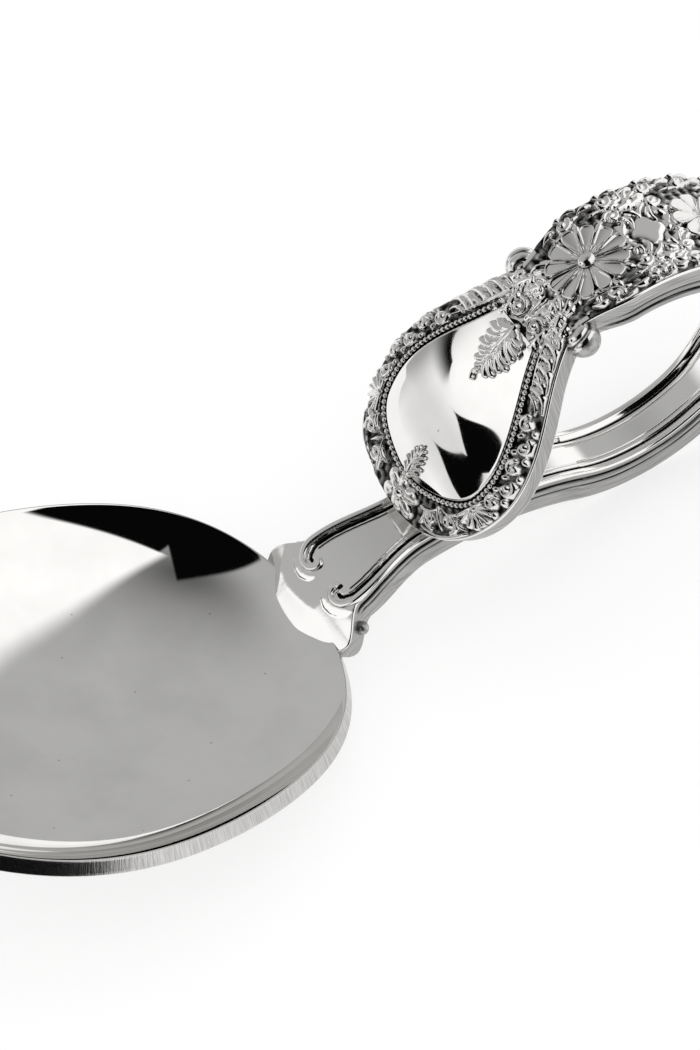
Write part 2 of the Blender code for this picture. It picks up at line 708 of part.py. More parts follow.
def make_band_flowers():
    """The rosette with its boss, the plain lozenge and the small flower along the middle of the band."""
    radius = BAND_HALF - PLAIN_RIM - SCROLL_WIDTH - ORNAMENT_GAP
    s = ring_station(ROSETTE_AT)
    relief_dome("rosette", s, 0, petals(ROSETTE_PETALS, radius, ROSETTE_NOTCH),
                petal_tops(ROSETTE_PETALS, ROSETTE_HEIGHT, PETAL_FURROW), PETAL_STEPS * ROSETTE_PETALS)
    relief_dome("rosette_boss", s, 0, disc(BOSS_RADIUS), even(BOSS_HEIGHT), BALL_STEPS,
                base=ROSETTE_HEIGHT + SOLDER_FILM)
    relief_dome("band_lozenge", ring_station(LOZENGE_AT), 0,
                leaf(LOZENGE_LENGTH, LOZENGE_HALF, LOZENGE_CORNERS), even(LOZENGE_HEIGHT),
                PETAL_STEPS * LOZENGE_CORNERS, POLISHED)
    relief_dome("small_flower", ring_station(SMALL_FLOWER_AT), 0,
                petals(SMALL_FLOWER_PETALS, SMALL_FLOWER_RADIUS, SMALL_FLOWER_NOTCH),
                petal_tops(SMALL_FLOWER_PETALS, ROSETTE_HEIGHT, PETAL_FURROW),
                PETAL_STEPS * SMALL_FLOWER_PETALS)


def make_ball(name, s, radius, sign):
    """A ball beside the edge of the strap, at the least distance that clears it by a film."""
    near = s + radius * np.linspace(-1, 1, PATH_POINTS)
    reach = half_width(near) + np.sqrt(np.clip(radius**2 - (near - s)**2, 0, None))
    y = sign * (reach.max() + SOLDER_FILM)

    def place(points):
        return on_strap(s + radius * points[:, 0], y + radius * points[:, 1], radius * points[:, 2])

    add_piece(name, sphere_mesh(name, BALL_STEPS, DOME_RINGS, place), STRUCK)


def make_balls():
    """The knops in the notches of the waist, and the small ears of the shoulder."""
    for side, sign in (("left", 1), ("right", -1)):
        make_ball(side + "_waist_knop", S_WAIST, KNOP_RADIUS, sign)
        make_ball(side + "_shoulder_ear", EAR_AT, EAR_RADIUS, sign)


def make_threads():
    """The thread along each edge of the stem's front, ending at the bowl in a curl."""
    run = np.linspace(CURL_AT, S_RING - SOLDER_FILM, 22)
    inset = FRONT_EDGE + THREAD_RADIUS
    turn = np.linspace(math.pi, 0, 9)[:-1]
    for side, sign in (("left", 1), ("right", -1)):
        edge = half_width(np.array([CURL_AT]))[0] - inset
        curl_s = CURL_AT - CURL_INSET / 2 * np.sin(turn)
        curl_y = edge - CURL_INSET / 2 + CURL_INSET / 2 * np.cos(turn)
        s = np.concatenate([curl_s, run])
        y = sign * np.concatenate([curl_y, half_width(run) - inset])
        h = -thickness(s) / 2 - SOLDER_FILM - THREAD_RADIUS
        wire(side + "_thread", on_strap(s, y, h), THREAD_RADIUS, np.ones(len(s)), POLISHED)


# Rest pose

def evaluated_points(obj):
    """Points of an object with its modifiers, in the spoon frame."""
    mesh = obj.evaluated_get(bpy.context.evaluated_depsgraph_get()).to_mesh()
    return np.array([vert.co[:] for vert in mesh.vertices])


def tilted(points, tilt):
    """X and Z of points after the handle is lowered by tilt."""
    x = points[:, 0] * math.cos(tilt) + points[:, 2] * math.sin(tilt)
    z = points[:, 2] * math.cos(tilt) - points[:, 0] * math.sin(tilt)
    return x, z


def lay_down(bowl, loop):
    """Turns the spoon frame so that bowl and loop rest on the table, and wears both flat there."""
    bowl_points = evaluated_points(bowl)
    loop_points = evaluated_points(loop)
    low = 0.0
    high = STEEPEST_REST
    while high - low > TILT_STEP:
        tilt = (low + high) / 2
        if tilted(loop_points, tilt)[1].min() > tilted(bowl_points, tilt)[1].min():
            low = tilt
        else:
            high = tilt
    x, z = tilted(np.vstack([bowl_points, loop_points]), low)
    SPOON_FRAME.rotation_euler.y = low
    SPOON_FRAME.location = (-(x.min() + x.max()) / 2, 0, -z.min() - REST_WEAR)
    table_side = x.max() - x.min() + CUTTER_MARGIN
    bm = bmesh.new()
    bmesh.ops.create_cube(bm, size=table_side)
    bmesh.ops.translate(bm, verts=bm.verts, vec=(0, 0, -table_side / 2))
    table = add_cutter(bpy.data.objects.new("table", mesh_of("table", bm)))
    cut(bowl, table)
    cut(loop, table)


def main():
    bowl = make_bowl()
    make_shoulder(bowl)
    make_stem()
    loop = make_loop()
    make_shield()
    make_panel()
    make_bead_row()
    make_leaf_borders()
    make_toe_shells()
    make_toe_flower()
    make_waist_leaf()
    make_band_scrolls()
    make_band_flowers()
    make_balls()
    make_threads()
    lay_down(bowl, loop)


main()
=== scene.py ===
"""Silver baby spoon whose handle is bent into a finger loop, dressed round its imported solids.

Every surface is worked out in millimetres in the spoon frame: X from the bowl's shoulder towards the handle,
Y to the spoon's left, Z square to the rim. lay_down() turns that frame to the pose in which the spoon lies on
the table. The handle is one strap, and a place on it is (s, y, h): the distance along its mid-line, the
distance to the left, and the height over the mid-line towards the back, which is the outside of the loop.
"""

import math

import bpy
import numpy as np
from mathutils import Matrix, Vector


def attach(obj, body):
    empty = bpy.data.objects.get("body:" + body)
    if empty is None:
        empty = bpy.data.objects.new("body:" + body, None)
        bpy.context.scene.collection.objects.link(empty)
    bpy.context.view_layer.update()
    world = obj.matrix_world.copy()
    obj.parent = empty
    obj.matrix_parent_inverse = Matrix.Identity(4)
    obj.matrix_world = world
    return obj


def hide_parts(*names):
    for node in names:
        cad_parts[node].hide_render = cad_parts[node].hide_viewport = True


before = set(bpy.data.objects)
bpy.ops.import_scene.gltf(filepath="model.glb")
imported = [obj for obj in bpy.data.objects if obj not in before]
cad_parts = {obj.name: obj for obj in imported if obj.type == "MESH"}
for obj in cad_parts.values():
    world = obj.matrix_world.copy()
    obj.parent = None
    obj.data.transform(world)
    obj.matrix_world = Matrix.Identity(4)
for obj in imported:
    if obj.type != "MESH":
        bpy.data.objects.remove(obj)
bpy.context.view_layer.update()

MM = 0.001
SIDES = (("left", 1), ("right", -1))

# How the spoon frame lies on the table
TILT = math.radians(16.177)
TABLE_X = 1.164
TABLE_Z = 2.336

# Bowl
BOWL_LENGTH = 37.7
BOWL_WIDTH = 28.8
BOWL_DEPTH = 4.5
BOWL_WALL = 1.05
BOWL_EGG = 0.22
BOWL_RISE = ((0.5, 2), (0.25, 4), (0.25, 12))  # share of the depth, power of the radius
BOWL_TURNS = 320
BOWL_ROWS = 110
BOWL_INNER = 0.01  # where the rows start, near the middle
ROWS_TO_RIM = 1.4  # power that draws the rows together at the rim
RIM_ROUND = 0.1
RIM_FALL = 0.3  # outer edge of the ground rim below its inner edge
RIM_BEND_ROWS = 6
RIM_FLAT_ROWS = 8

# Mid-line of the strap
FOOT = (-1.0, -1.45)
NECK_RISE = math.radians(48)
NECK_PULL = 7.0
RING_PULL = 8.0
RING_CENTRE = (20.2, 15.0)
RING_RADIUS = 10.1
RING_START = math.radians(-100)
RING_END = math.radians(158)
SHIELD_LENGTH = 13.62
PATH_POINTS = 400
LEAD = 10.0  # straight run added before the foot and after the tip

# Stations of the ring, in degrees
BAND_STARTS = -50
BAND_FULL = 70
BAND_NARROWS = 112
WAIST_AT = 134.5
ROSETTE_AT = 117.4
LOZENGE_AT = 94
SMALL_FLOWER_AT = 74
SCROLLS_FROM = 38
SCROLLS_TO = 128

# Section of the strap
FOOT_THICK = 1.6
NECK_THICK = 2.5
RING_THICK = 2.3
SHIELD_THICK = 1.3
TONGUE_REACH = 1.9
TONGUE_HALF = 4.55
NECK_AT = 4.3
NECK_HALF = 2.95
STEM_AT = 9.5
STEM_HALF = 2.1
LOOP_HALF = 1.9
BAND_HALF = 3.95
WAIST_HALF = 3.15
SHIELD_HALF = 7.2
SHIELD_SWELL = 1.2
SHIELD_ROUND = 7.3
SHIELD_BLUNT = 2.05
SHIELD_CROWN = 1.0
CROWN_POWER = 3
JOINT_SHOULDER = 4.4
NOSE_LEFT = 0.03  # radians left off the round nose, and the next off the toe
TOE_LEFT = 0.02
EDGE_ROUND = 0.14
EDGE_STEPS = 4
WALL_PAINTED_SHADE = 0.64  # painted shade on the sides: a flat darkening that stands in for a darker reflection
GROOVE_DARK = 0.12  # cut at which a groove is quite dark

# Fall of the shoulder to the bowl; a turn is the length over which an edge turns down
SHOULDER_LEAN = 0.07  # slope of the whole shoulder down to the bowl
LEAN_TURN = 0.6
ROLL_LINE = ((-4.4, 1.4), (-2.0, 1.85), (1.5, 1.5), (2.6, 1.75), (4.0, 0.9))  # across, and where it rolls
ROLL_SLOPE = ((-4.4, 0.06), (-2.2, 0.11), (1.2, 0.11), (3.0, 0.085))  # across, and how steeply
ROLL_TURN = 0.35
CREST = -0.8  # across: the shoulder falls from here to both sides
CREST_HALF = 0.1
CROWN_TURN = 0.25
CROWN_LEFT = 0.03  # slope to the left of the crest
CROWN_RIGHT = 0.06
CROWN_FULL = 2.2  # along: the fall is full from here to the bowl
CORNER = (1.63, 0.68)  # the left corner falls off past the line across = first + second x along
CORNER_TURN = 0.3
CORNER_SLOPE = 0.2

# Front of the stem and loop, measured in from the strap's edge
EDGE_AT = 0.27  # middle of the raised edge
EDGE_HALF = 0.23
EDGE_RISE = 0.22
EDGE_FADE = 1.5  # length over which it rises, from the neck on
GROOVE_AT = 0.72
GROOVE_DEPTH = 0.26
GROOVE_SWELL = ((3.5, 0.12), (5, 0.15), (8, 0.13), (22, 0.125))  # along, and the groove's half width
CROOK = ((3.95, 2.12), (3.68, 1.98), (3.52, 1.78), (3.5, 1.55))  # the groove's end inside the hook
LINE_POINTS = 40
LINES_OVER = 1.0  # how far the stem's lines go on past its end
STEM_LINE = (1.08, 0.06, 0.05)  # fine line on the stem: in from the edge, half width, depth
LOOP_LINES = ((GROOVE_AT, 0.125, GROOVE_DEPTH), (1.14, 0.07, 0.06))  # the same on the loop, groove first
LOOP_FADE = (-0.5, 2.5)  # before the waist, where they have gone and where they are full
SIDE_GROOVES = ((0.15, 0.62, 0.14, 4), (0.07, 1.2, 0.06, 2))  # depth, below the front, half width, power
SIDE_FROM = (3.6, 4.4)  # along the stem, where these start and where they are full
SIDE_UNTIL = (1, 5)  # before the waist, where they have gone and where they are full
HOOK = ((3.9, 2.66), (3.5, 2.5), (3.2, 2.24), (3.02, 1.9), (2.98, 1.52), (3.1, 1.2), (3.35, 1.0),
        (3.65, 0.97), (3.85, 1.12), (3.86, 1.34))  # the threads' ends, along and across
THREAD_SWELL = ((0, 0.2), (0.35, 0.27), (0.9, 0.2), (3, 0.25), (20, 0.23))  # from the end, and half width
THREAD_PROUD = 0.04  # how far the threads stand over the raised edge
THREAD_FADE = 2.0  # length over which they come up to that
THREAD_POINTS = 90
THREAD_ACROSS = 13
THREAD_STEP = 0.05
COLLAR_ROUND = HOOK[1:6]  # the part of the hook that the collar lies before
COLLAR_AHEAD = 0.05
COLLAR_HALF = 0.65
COLLAR_RISE = 0.06

# Knops and ears
KNOP_RADIUS = 1.15
KNOP_SUNK = 0.9  # how far the knops go into the strap's edge
KNOP_PAINTED_SHADE = 0.6  # painted shade on the outer side of knops and ears, in place of a darker reflection
KNOP_CUT = 0.16  # depth of their scroll's line, as a share of the radius
BALL_TURNS = 120
BALL_ROWS = 64
BALL_LEFT = 0.03  # radians left off at the poles
EAR_AT = 3.3
EAR_RADIUS = 0.45
EAR_SUNK = 0.5
EAR_BEHIND = 0.3
SCROLL_AXIS = (0.1, -0.6, 0.79)  # along, outwards and back
SCROLL_SPREAD = 1.5  # radians round the axis

# Face of the shield
PLAIN_RIM = 0.25
SIDE_BORDER = 1.75
TOE_BORDER = 2.75
TOE_BLEND = 5.0
BEAD_RADIUS = 0.18
BEAD_NECK = 0.3  # thinnest place between two beads, as a share of the radius
BEAD_PITCH = 0.38
BEAD_ROWS = 8
BEAD_SIDES = 12
BEAD_ROOM = 0.26  # from the middle of the bead row to what lies beside it
PANEL_THICK = 0.25
PANEL_TOP = 1.7
PANEL_LIP = 0.14
PANEL_ROWS = 90
PANEL_COLUMNS = 70
PANEL_LIP_ROWS = 6
PANEL_LEFT = 0.004  # radians left off its round foot
PANEL_FOOT = 0.98  # width of its foot, as a share of its own
FIELD_RIM = (0.2, 0.4)  # in from the edge, where the tarnished ground starts and where it is full
WAIST_UNTIL = (-0.8, -0.4)  # before the panel's top, where the waist's ground has gone and where it is full
WAIST_CLEAR = 0.1  # height that clears the tarnish there
WAIST_BRIGHT = 0.4  # tarnish that the buff takes off the waist
BORDER_EDGE = 0.12  # plain edge outside the borders
BORDER_HEIGHT = 0.45
BORDER_STARTS = 0.5  # down from the waist
BORDER_ENDS = 5.2  # up from the tip, as the next four
SHELL_STARTS = 5.9
SHELL_ENDS = 3.0
SCROLL_STARTS = 3.4
SCROLL_ENDS = 0.3
TOE_FLOWER_HALF = 2.6  # across
TOE_FLOWER_OVER = 0.15  # what it gains over the border's half width
TOE_FLOWER_EDGE = 0.1  # ground outside its petals
TOE_FLOWER_DOWN = 0.05
TOE_PETAL_HALF = 2.35
TOE_PETAL_SHARE = 0.62  # where a petal's stroke ends on the way to its tip
TOE_LEAF_UP = 0.1
TOE_LEAF_LENGTH = 2.3
TOE_LEAF_HALF = 0.65
WAIST_LEAF_LENGTH = 4.0
WAIST_LEAF_HALF = 1.4
WAIST_PIECES_GAP = 0.1  # from the panel's top to the waist leaf and to the volutes
VOLUTE_RADIUS = 0.72
VOLUTE_EDGE = 0.2
FILM = 0.03  # height of an ornament's own ground over the metal under it
ROOT = 0.15  # how far a piece goes into the metal under it

# Broad top of the loop
FIELD_FROM = 45.0
FIELD_ARCH = 1.2
FIELD_FADE = 0.6
FIELD_SIDE = (0.3, 0.45)  # in from the edge, where the ornament's ground starts and where it is full
BAND_CLEAR = 0.3  # height that clears the tarnish
SCROLL_WIDTH = 1.05
SCROLL_FIRST = 0.9
SCROLL_PITCH = 2.6
SCROLLS_LENGTH = 16.0
ROSETTE_HEIGHT = 0.4
ROSETTE_GAP = 0.1
BOSS_RADIUS = 0.55
BOSS_RISE = 0.45
BOSS_SUNK = 0.08
BOSS_DULL = 0.8  # tarnish left round its foot
BOSS_INNER = 0.02  # first row of every boss, as a share of the way out
LOZENGE_HALF = (1.15, 1.3)  # along and across
LOZENGE_RISE = 0.2
LOZENGE_WAIST = 0.12  # how far its sides are drawn in between the corners
SMALL_FLOWER_RADIUS = 2.0

# Petals of the flowers
PETAL_HEIGHT = 0.42
PETAL_DISH = 0.1  # how far a petal's sides stand over its middle
PETAL_TURN_UP = 0.07  # how far some petals turn up and others down
FURROW_HALF = 0.03
FURROW_OPENS = 0.07  # what a furrow's half width gains at the petals' tips
LIP_IN = 0.13  # lip's middle, in from the petal's edge
LIP_HALF = 0.05
LIP_RISE = 0.04
PETAL_RIM = 0.06
HEART = 0.5  # lines are cut within this share of the radius
HEART_CUT = 0.08

# Strokes
MATT_PITCH = 0.62
MATT_RISE = 0.04
MATT_TURNS = (0.3, 1.37, 2.2, 2.85)  # directions of the waves, in radians
TINY = 1e-9  # keeps a stroke of no length from a division by nought
DOT_LENGTH = 0.01
CURL_POINTS = 24
CURL_CLOSES = 0.86
FINGER_OUT = 0.75  # how far a leaf's finger goes out from the rib, and the next on along it
FINGER_ON = 0.65
FINGER_BEND = 0.12
FINGER_LOWER = 0.85  # height of a leaf's fingers, as a share of its rib's
PLUME_BEND = 0.15
STRIP_STEP = 0.05
STRIP_ACROSS = 40
STRIP_FADE = 0.35

# Camera and studio, in metres where not said
VIEW_BACK = (-0.2899, -0.5049, 0.8130)
VIEW_RIGHT = (0.8447, -0.5344, -0.0307)
VIEW_ACROSS = 2.621  # mm
VIEW_UP = 4.801  # mm
VIEW_DISTANCE = 1.2
FRAME_HEIGHT = 66.16  # mm
SENSOR = 36.0  # mm
FLOOR_SIZE = 6.0
FLOOR_DROP = 2e-5
TENT_RADIUS = 1.0
TENT_FOOT = -0.05  # radians below the floor
TENT_ROWS = 40
TENT_TURNS = 97
TENT_GREY = (0.1, 0.05, 0)  # where the tent is darkest, seen from above
TENT_WHITE = 1.12
TENT_BLACK = 0.002
HANDLE_FROM = 1.002  # rays from the handle to the left cloth are longer than this
FOLD_DARK = 0.3  # how much the low fold dims the left cloth

# Pieces of the tent's cloth: an edge is a plane's normal and the heights between which the cloth starts
RIGHT_CLOTH = (((1, -2.35, -1.44), -1.05, -0.81), ((1, 0.28, 0), -0.02, 0.02))
LEFT_CLOTH = (((-1, 0, 0), 0.75, 0.775), ((0, 1, 0), -0.2, -0.1))
LEFT_CLOTH_SOFT = (((-1, 0, 0), 0.64, 0.80), ((0, 1, 0), -0.2, -0.1))
LOW_FOLD = (((0, 0, 1), -0.06, 0.10), ((0, 0, -1), -0.32, -0.12), ((-1, 0, 0), 0.6, 0.7))
CAMERA_BLACKS = (
    (((-1, -0.28, 0), -0.02, 0.02), ((0.536, -1, 0), 0.25, 0.28), ((1, 0, 0), -0.70, -0.64)),
    (((-1, 0.614, 0), -0.135, -0.115), ((0, -1, 0), -0.13, -0.09), ((1, 0, 0), -0.70, -0.64)))
HANDLE_GAPS = (
    (((-0.964, 0.260, 0.047), 0.9440, 0.9455), ((-0.862, 0.340, 0.376), 0.9726, 0.9739)),
    (((-0.517, 0.248, 0.820), 0.6415, 0.6440), ((-0.917, 0.197, -0.347), 0.8538, 0.8545)),
    (((-0.355, 0.008, -0.935), -0.003, 0), ((0.107, 0.570, -0.815), -0.003, 0),
     ((0.146, 0.173, 0.974), 0.195, 0.270), ((0, 1, 0), 0.525, 0.56)))


def unit(vectors):
    """Vectors along the last axis, divided by their length."""
    return vectors / np.linalg.norm(vectors, axis=-1, keepdims=True)


def joined(*grids):
    """Grids spread to one shape and joined along a new last axis."""
    return np.stack(np.broadcast_arrays(*grids), axis=-1)


def spoke(angle):
    """Unit vectors in the directions of angles: cosine and sine."""
    return np.stack([np.cos(angle), np.sin(angle)], axis=-1)


def left_of(run):
    """Flat vectors turned a quarter to the left."""
    return np.stack([-run[..., 1], run[..., 0]], axis=-1)


def ramp(value, start, stop):
    """Share of the way from start to stop, held at 0 before and at 1 after."""
    return np.clip((value - start) / (stop - start), 0, 1)


def arched(share, power=2):
    """Height of an arch at a share of its half width: 1 in the middle, and 0 at its edge and past it."""
    return np.sqrt(np.clip(1 - share**power, 0, 1))


def eased(at, stations):
    """Value at each place: a smoothstep from one (place, value) station to the next."""
    places, values = np.array(stations).T
    index = np.clip(np.searchsorted(places, at) - 1, 0, len(places) - 2)
    share = ramp(at, places[index], places[index + 1])
    return values[index] + (values[index + 1] - values[index]) * share**2 * (3 - 2 * share)


def swelling(at, stations):
    """Value at each place: a straight run from one (place, value) station to the next."""
    return np.interp(at, *np.transpose(stations))


def along(points):
    """Distance of each point of a polyline from its first point."""
    return np.concatenate([[0], np.cumsum(np.linalg.norm(np.diff(points, axis=0), axis=1))])


# Mid-line of the strap

def on_ring(angle):
    """Points of the ring and the direction of travel there, in the X-Z plane."""
    out = spoke(angle)
    return np.array(RING_CENTRE) + RING_RADIUS * out, out[..., ::-1] * [-1, 1]


def mid_line():
    """A cubic Bezier from the bowl into the ring, the ring, and a straight run to the shield's tip, with the
    distances along it and those of the ring's start, the ring's end and the tip."""
    end, end_run = on_ring(RING_START)
    foot = np.array(FOOT)
    rise = foot + NECK_PULL * spoke(NECK_RISE)
    run_in = end - RING_PULL * end_run
    t = np.linspace(0, 1, PATH_POINTS)[:, None]
    neck = (1 - t)**3 * foot + 3 * (1 - t)**2 * t * rise + 3 * (1 - t) * t**2 * run_in + t**3 * end
    ring, ring_run = on_ring(np.linspace(RING_START, RING_END, PATH_POINTS)[1:])
    lead = neck[0] - LEAD * unit(neck[1] - neck[0])
    tip = ring[-1] + SHIELD_LENGTH * ring_run[-1]
    points = np.vstack([lead, neck, ring, tip, tip + LEAD * ring_run[-1]])
    s = along(points) - LEAD
    return points, s, s[len(neck)], s[-3], s[-2]


PATH, PATH_S, S_RING, S_RING_END, S_TIP = mid_line()
PATH_RUN = unit(np.gradient(PATH, PATH_S, axis=0))


def ring_station(degrees):
    """Distance along the mid-line to an angle of the ring."""
    return S_RING + (math.radians(degrees) - RING_START) * (S_RING_END - S_RING) / (RING_END - RING_START)


S_BAND_STARTS = ring_station(BAND_STARTS)
S_BAND_FULL = ring_station(BAND_FULL)
S_BAND_NARROWS = ring_station(BAND_NARROWS)
S_WAIST = ring_station(WAIST_AT)
S_WIDEST = S_TIP - SHIELD_ROUND
S_PANEL = S_RING_END - PANEL_TOP


def on_strap(s, y, h):
    """Points at distance s along the mid-line, y to the left and h towards the back, square to the line."""
    s, y, h = np.broadcast_arrays(s, y, h)
    x, z = (np.interp(s, PATH_S, PATH[:, axis]) for axis in (0, 1))
    run = unit(np.stack([np.interp(s, PATH_S, PATH_RUN[:, axis]) for axis in (0, 1)], axis=-1))
    return np.stack([x + h * run[..., 1], y, z - h * run[..., 0]], axis=-1)


def thickness(s):
    """Thickness of the strap."""
    return eased(s, [(0, FOOT_THICK), (NECK_AT, NECK_THICK), (S_RING, RING_THICK),
                     (S_BAND_NARROWS, RING_THICK), (S_RING_END, SHIELD_THICK)])


def pear(s):
    """Half width of the shield before its end is rounded: a quarter sine from the waist to the widest."""
    swell = ramp(s, S_WAIST, S_WIDEST)**SHIELD_SWELL
    return WAIST_HALF + (SHIELD_HALF - WAIST_HALF) * np.sin(swell * math.pi / 2)


def toe_share(s):
    """How far along the shield's rounded end a place is, from 0 at its widest to 1 at its tip."""
    return np.clip((s - S_WIDEST) / SHIELD_ROUND, 0, 1)


def half_width(s):
    """Half width of the strap: elliptic tongue, eased stem and band, pear with a near-elliptic end."""
    tongue = TONGUE_HALF * np.sqrt(1 - (1 - ramp(s, 0, TONGUE_REACH))**2)
    body = eased(s, [(TONGUE_REACH, TONGUE_HALF), (NECK_AT, NECK_HALF), (STEM_AT, STEM_HALF),
                     (S_RING, LOOP_HALF), (S_BAND_STARTS, LOOP_HALF), (S_BAND_FULL, BAND_HALF),
                     (S_BAND_NARROWS, BAND_HALF), (S_WAIST, WAIST_HALF)])
    end = (1 - toe_share(s)**SHIELD_BLUNT)**(1 / SHIELD_BLUNT)
    return np.where(s < TONGUE_REACH, tongue, np.where(s > S_WAIST, pear(s) * end, body))


def back(s, y):
    """Height of the back face: half the thickness, and on the shield a dome that falls with a power of y."""
    rise = eased(s, [(S_WAIST, 0.0), (S_WIDEST, SHIELD_CROWN)])
    fall = np.abs(y / pear(s))**CROWN_POWER + toe_share(s)**CROWN_POWER
    return thickness(s) / 2 + rise * np.clip(1 - fall, 0, 1)


# Materials

def linear(code):
    """An sRGB hex colour as linear red, green, blue and alpha."""
    value = np.array([int(code[k:k + 2], 16) for k in (1, 3, 5)]) / 255
    return (*np.where(value <= 0.04045, value / 12.92, ((value + 0.055) / 1.055)**2.4), 1.0)


def add(tree, kind, inputs=None, **settings):
    """Adds a shader node, sets its properties, and fills its inputs or links them: to a socket, or to the
    first output of a node."""
    node = tree.nodes.new("ShaderNode" + kind)
    for key, value in settings.items():
        setattr(node, key, value)
    for key, value in (inputs or {}).items():
        if isinstance(value, bpy.types.Node):
            value = value.outputs[0]
        if isinstance(value, bpy.types.NodeSocket):
            tree.links.new(value, node.inputs[key])
        else:
            node.inputs[key].default_value = value
    return node


def worked(tree, operation, first, second):
    """Adds a node that works out a number from two."""
    return add(tree, "Math", {0: first, 1: second}, operation=operation)


def mapped(tree, value, start, stop, low=0.0, high=1.0, shape="LINEAR"):
    """Adds a node that takes the range from start to stop to that from low to high, held at both ends."""
    return add(tree, "MapRange", {"Value": value, "From Min": start, "From Max": stop, "To Min": low,
                                  "To Max": high}, interpolation_type=shape)


def blended(tree, share, first, second):
    """Adds a node that goes from one number to another with a share."""
    return add(tree, "Mix", {0: share, 2: first, 3: second})


def tinted(tree, share, first, second):
    """Adds a node that goes from one colour to another with a share, and gives its output."""
    return add(tree, "Mix", {0: share, 6: first, 7: second}, data_type="RGBA").outputs[2]


def placed(tree, place, scale, rotation=(0.0, 0.0, 0.0)):
    """Adds a node that stretches and turns a pattern's place."""
    return add(tree, "Mapping", {"Vector": place, "Rotation": rotation, "Scale": scale})


def noise(tree, place, detail, scale=1.0):
    """Adds a noise pattern."""
    return add(tree, "TexNoise", {"Vector": place, "Scale": scale, "Detail": detail})


def new_tree(name):
    """An empty material and its node tree."""
    material = bpy.data.materials.new(name)
    material.use_nodes = True
    material.node_tree.nodes.clear()
    return material, material.node_tree


def end_metal(tree, colour, rough, normal):
    """Ends a node tree as bare metal."""
    shader = add(tree, "BsdfPrincipled", {"Base Color": colour, "Metallic": 1.0, "Roughness": rough,
                                          "Normal": normal})
    add(tree, "OutputMaterial", {"Surface": shader})


def per_metre(millimetres):
    """Texture scale of a pattern whose features are so many millimetres apart, in one direction or each."""
    return 1 / (np.array(millimetres) * MM)


def mirror_silver():
    """Sterling silver polished to a mirror on a buff, then used: sharp reflections that waver a little, hair
    scratches, small pits, and on the rim a band ground across on a wheel, matt with short cross strokes."""
    material, tree = new_tree("mirror_polished_sterling_silver")
    place = add(tree, "TexCoord").outputs["Object"]
    ground = add(tree, "Attribute", attribute_name="ground").outputs["Fac"]
    smudge = noise(tree, place, 3.0, per_metre(4))
    rough = blended(tree, ground, mapped(tree, smudge, 0.35, 0.75, 0.012, 0.045), 0.2)
    # hair scratches: 0.1 mm apart and 3 mm long, turned off the spoon's axis
    hair = noise(tree, placed(tree, place, per_metre((3, 0.1, 0.4)), (0.0, 0.0, 0.5)), 2.0)
    hair_cut = mapped(tree, hair, 0.62, 0.74, 0.0, -1.0)
    # pits of use, 7 mm apart and 0.15 mm wide, which hold a little dirt, and a faint smear of handling
    pit = add(tree, "TexVoronoi", {"Vector": place, "Scale": per_metre(7)}, voronoi_dimensions="2D")
    pit_dirt = mapped(tree, pit, 0.006, 0.014, 0.4, 0.0)
    dirt = worked(tree, "MAXIMUM", pit_dirt, mapped(tree, smudge, 0.4, 0.7, 0.0, 0.09))
    buffed = tinted(tree, dirt, linear("#F3F2F0"), linear("#5A5957"))
    # cross strokes of the wheel on the rim, 0.1 mm apart: twice as coarse as real ones, so that they show
    wheel_place = placed(tree, add(tree, "UVMap", uv_map="surface_mm"), (0.8, 10.0, 1.0))
    wheel = noise(tree, wheel_place, 3.0)
    matt = worked(tree, "MULTIPLY", mapped(tree, wheel, 0.35, 0.65, 0.6, 1.0), ground)
    wheel_cut = worked(tree, "MULTIPLY", wheel, ground)
    wavy = add(tree, "Bump", {"Height": noise(tree, place, 1.0, per_metre(5)), "Distance": 6e-7})
    hairy = add(tree, "Bump", {"Height": hair_cut, "Distance": 1e-7, "Normal": wavy})
    wheeled = add(tree, "Bump", {"Height": wheel_cut, "Distance": 1e-5, "Normal": hairy})
    end_metal(tree, tinted(tree, matt, buffed, linear("#B4B3B1")), rough, wheeled)
    return material


def oxidised_silver(name, bright, gloss, dull, wave_size, buffed_along):
    """Sterling silver struck in a die and oxidised: bright where the buff reaches, and black with tarnish in
    the recesses, which the piece's own attribute gives. The same attribute also paints shade: a flat
    darkening of the strap's sides and of the knops' and ears' outer sides, which stands in for a darker
    reflection. The edge between the bright and the dark is uneven: in streaks along the strap where it was
    buffed that way, and else in specks. wave_size is in millimetres."""
    material, tree = new_tree(name)
    place = add(tree, "TexCoord").outputs["Object"]
    tarnish_and_painted_shade = add(tree, "Attribute", attribute_name="tarnish_and_painted_shade").outputs["Fac"]
    if buffed_along:
        speck = placed(tree, add(tree, "UVMap", uv_map="surface_mm"), (0.35, 9.0, 1.0))
    else:
        speck = placed(tree, place, per_metre((0.35, 0.35, 0.35)))
    uneven = worked(tree, "ADD", tarnish_and_painted_shade, mapped(tree, noise(tree, speck, 3.0), 0.0, 1.0, -0.25, 0.25))
    # share of black: tarnish in the recesses, and painted shade on the strap's sides and the knops' outer
    # sides
    tarnish_and_painted_shade_mix = mapped(tree, uneven, 0.25, 0.95)
    # fine handling scratches 0.15 mm apart, and the soft unevenness of hand buffing
    hair = noise(tree, placed(tree, place, per_metre((2, 0.15, 0.3)), (0.3, 0.2, 0.9)), 2.0)
    wave = noise(tree, place, 2.0, per_metre(wave_size))
    wavy = add(tree, "Bump", {"Height": wave, "Distance": wave_size * 1.6e-6})
    hairy = add(tree, "Bump", {"Height": hair, "Distance": 1.5e-6, "Normal": wavy})
    end_metal(tree, tinted(tree, tarnish_and_painted_shade_mix, linear(bright), linear("#151514")),
              mapped(tree, tarnish_and_painted_shade_mix, 0.0, 1.0, gloss, dull), hairy)
    return material


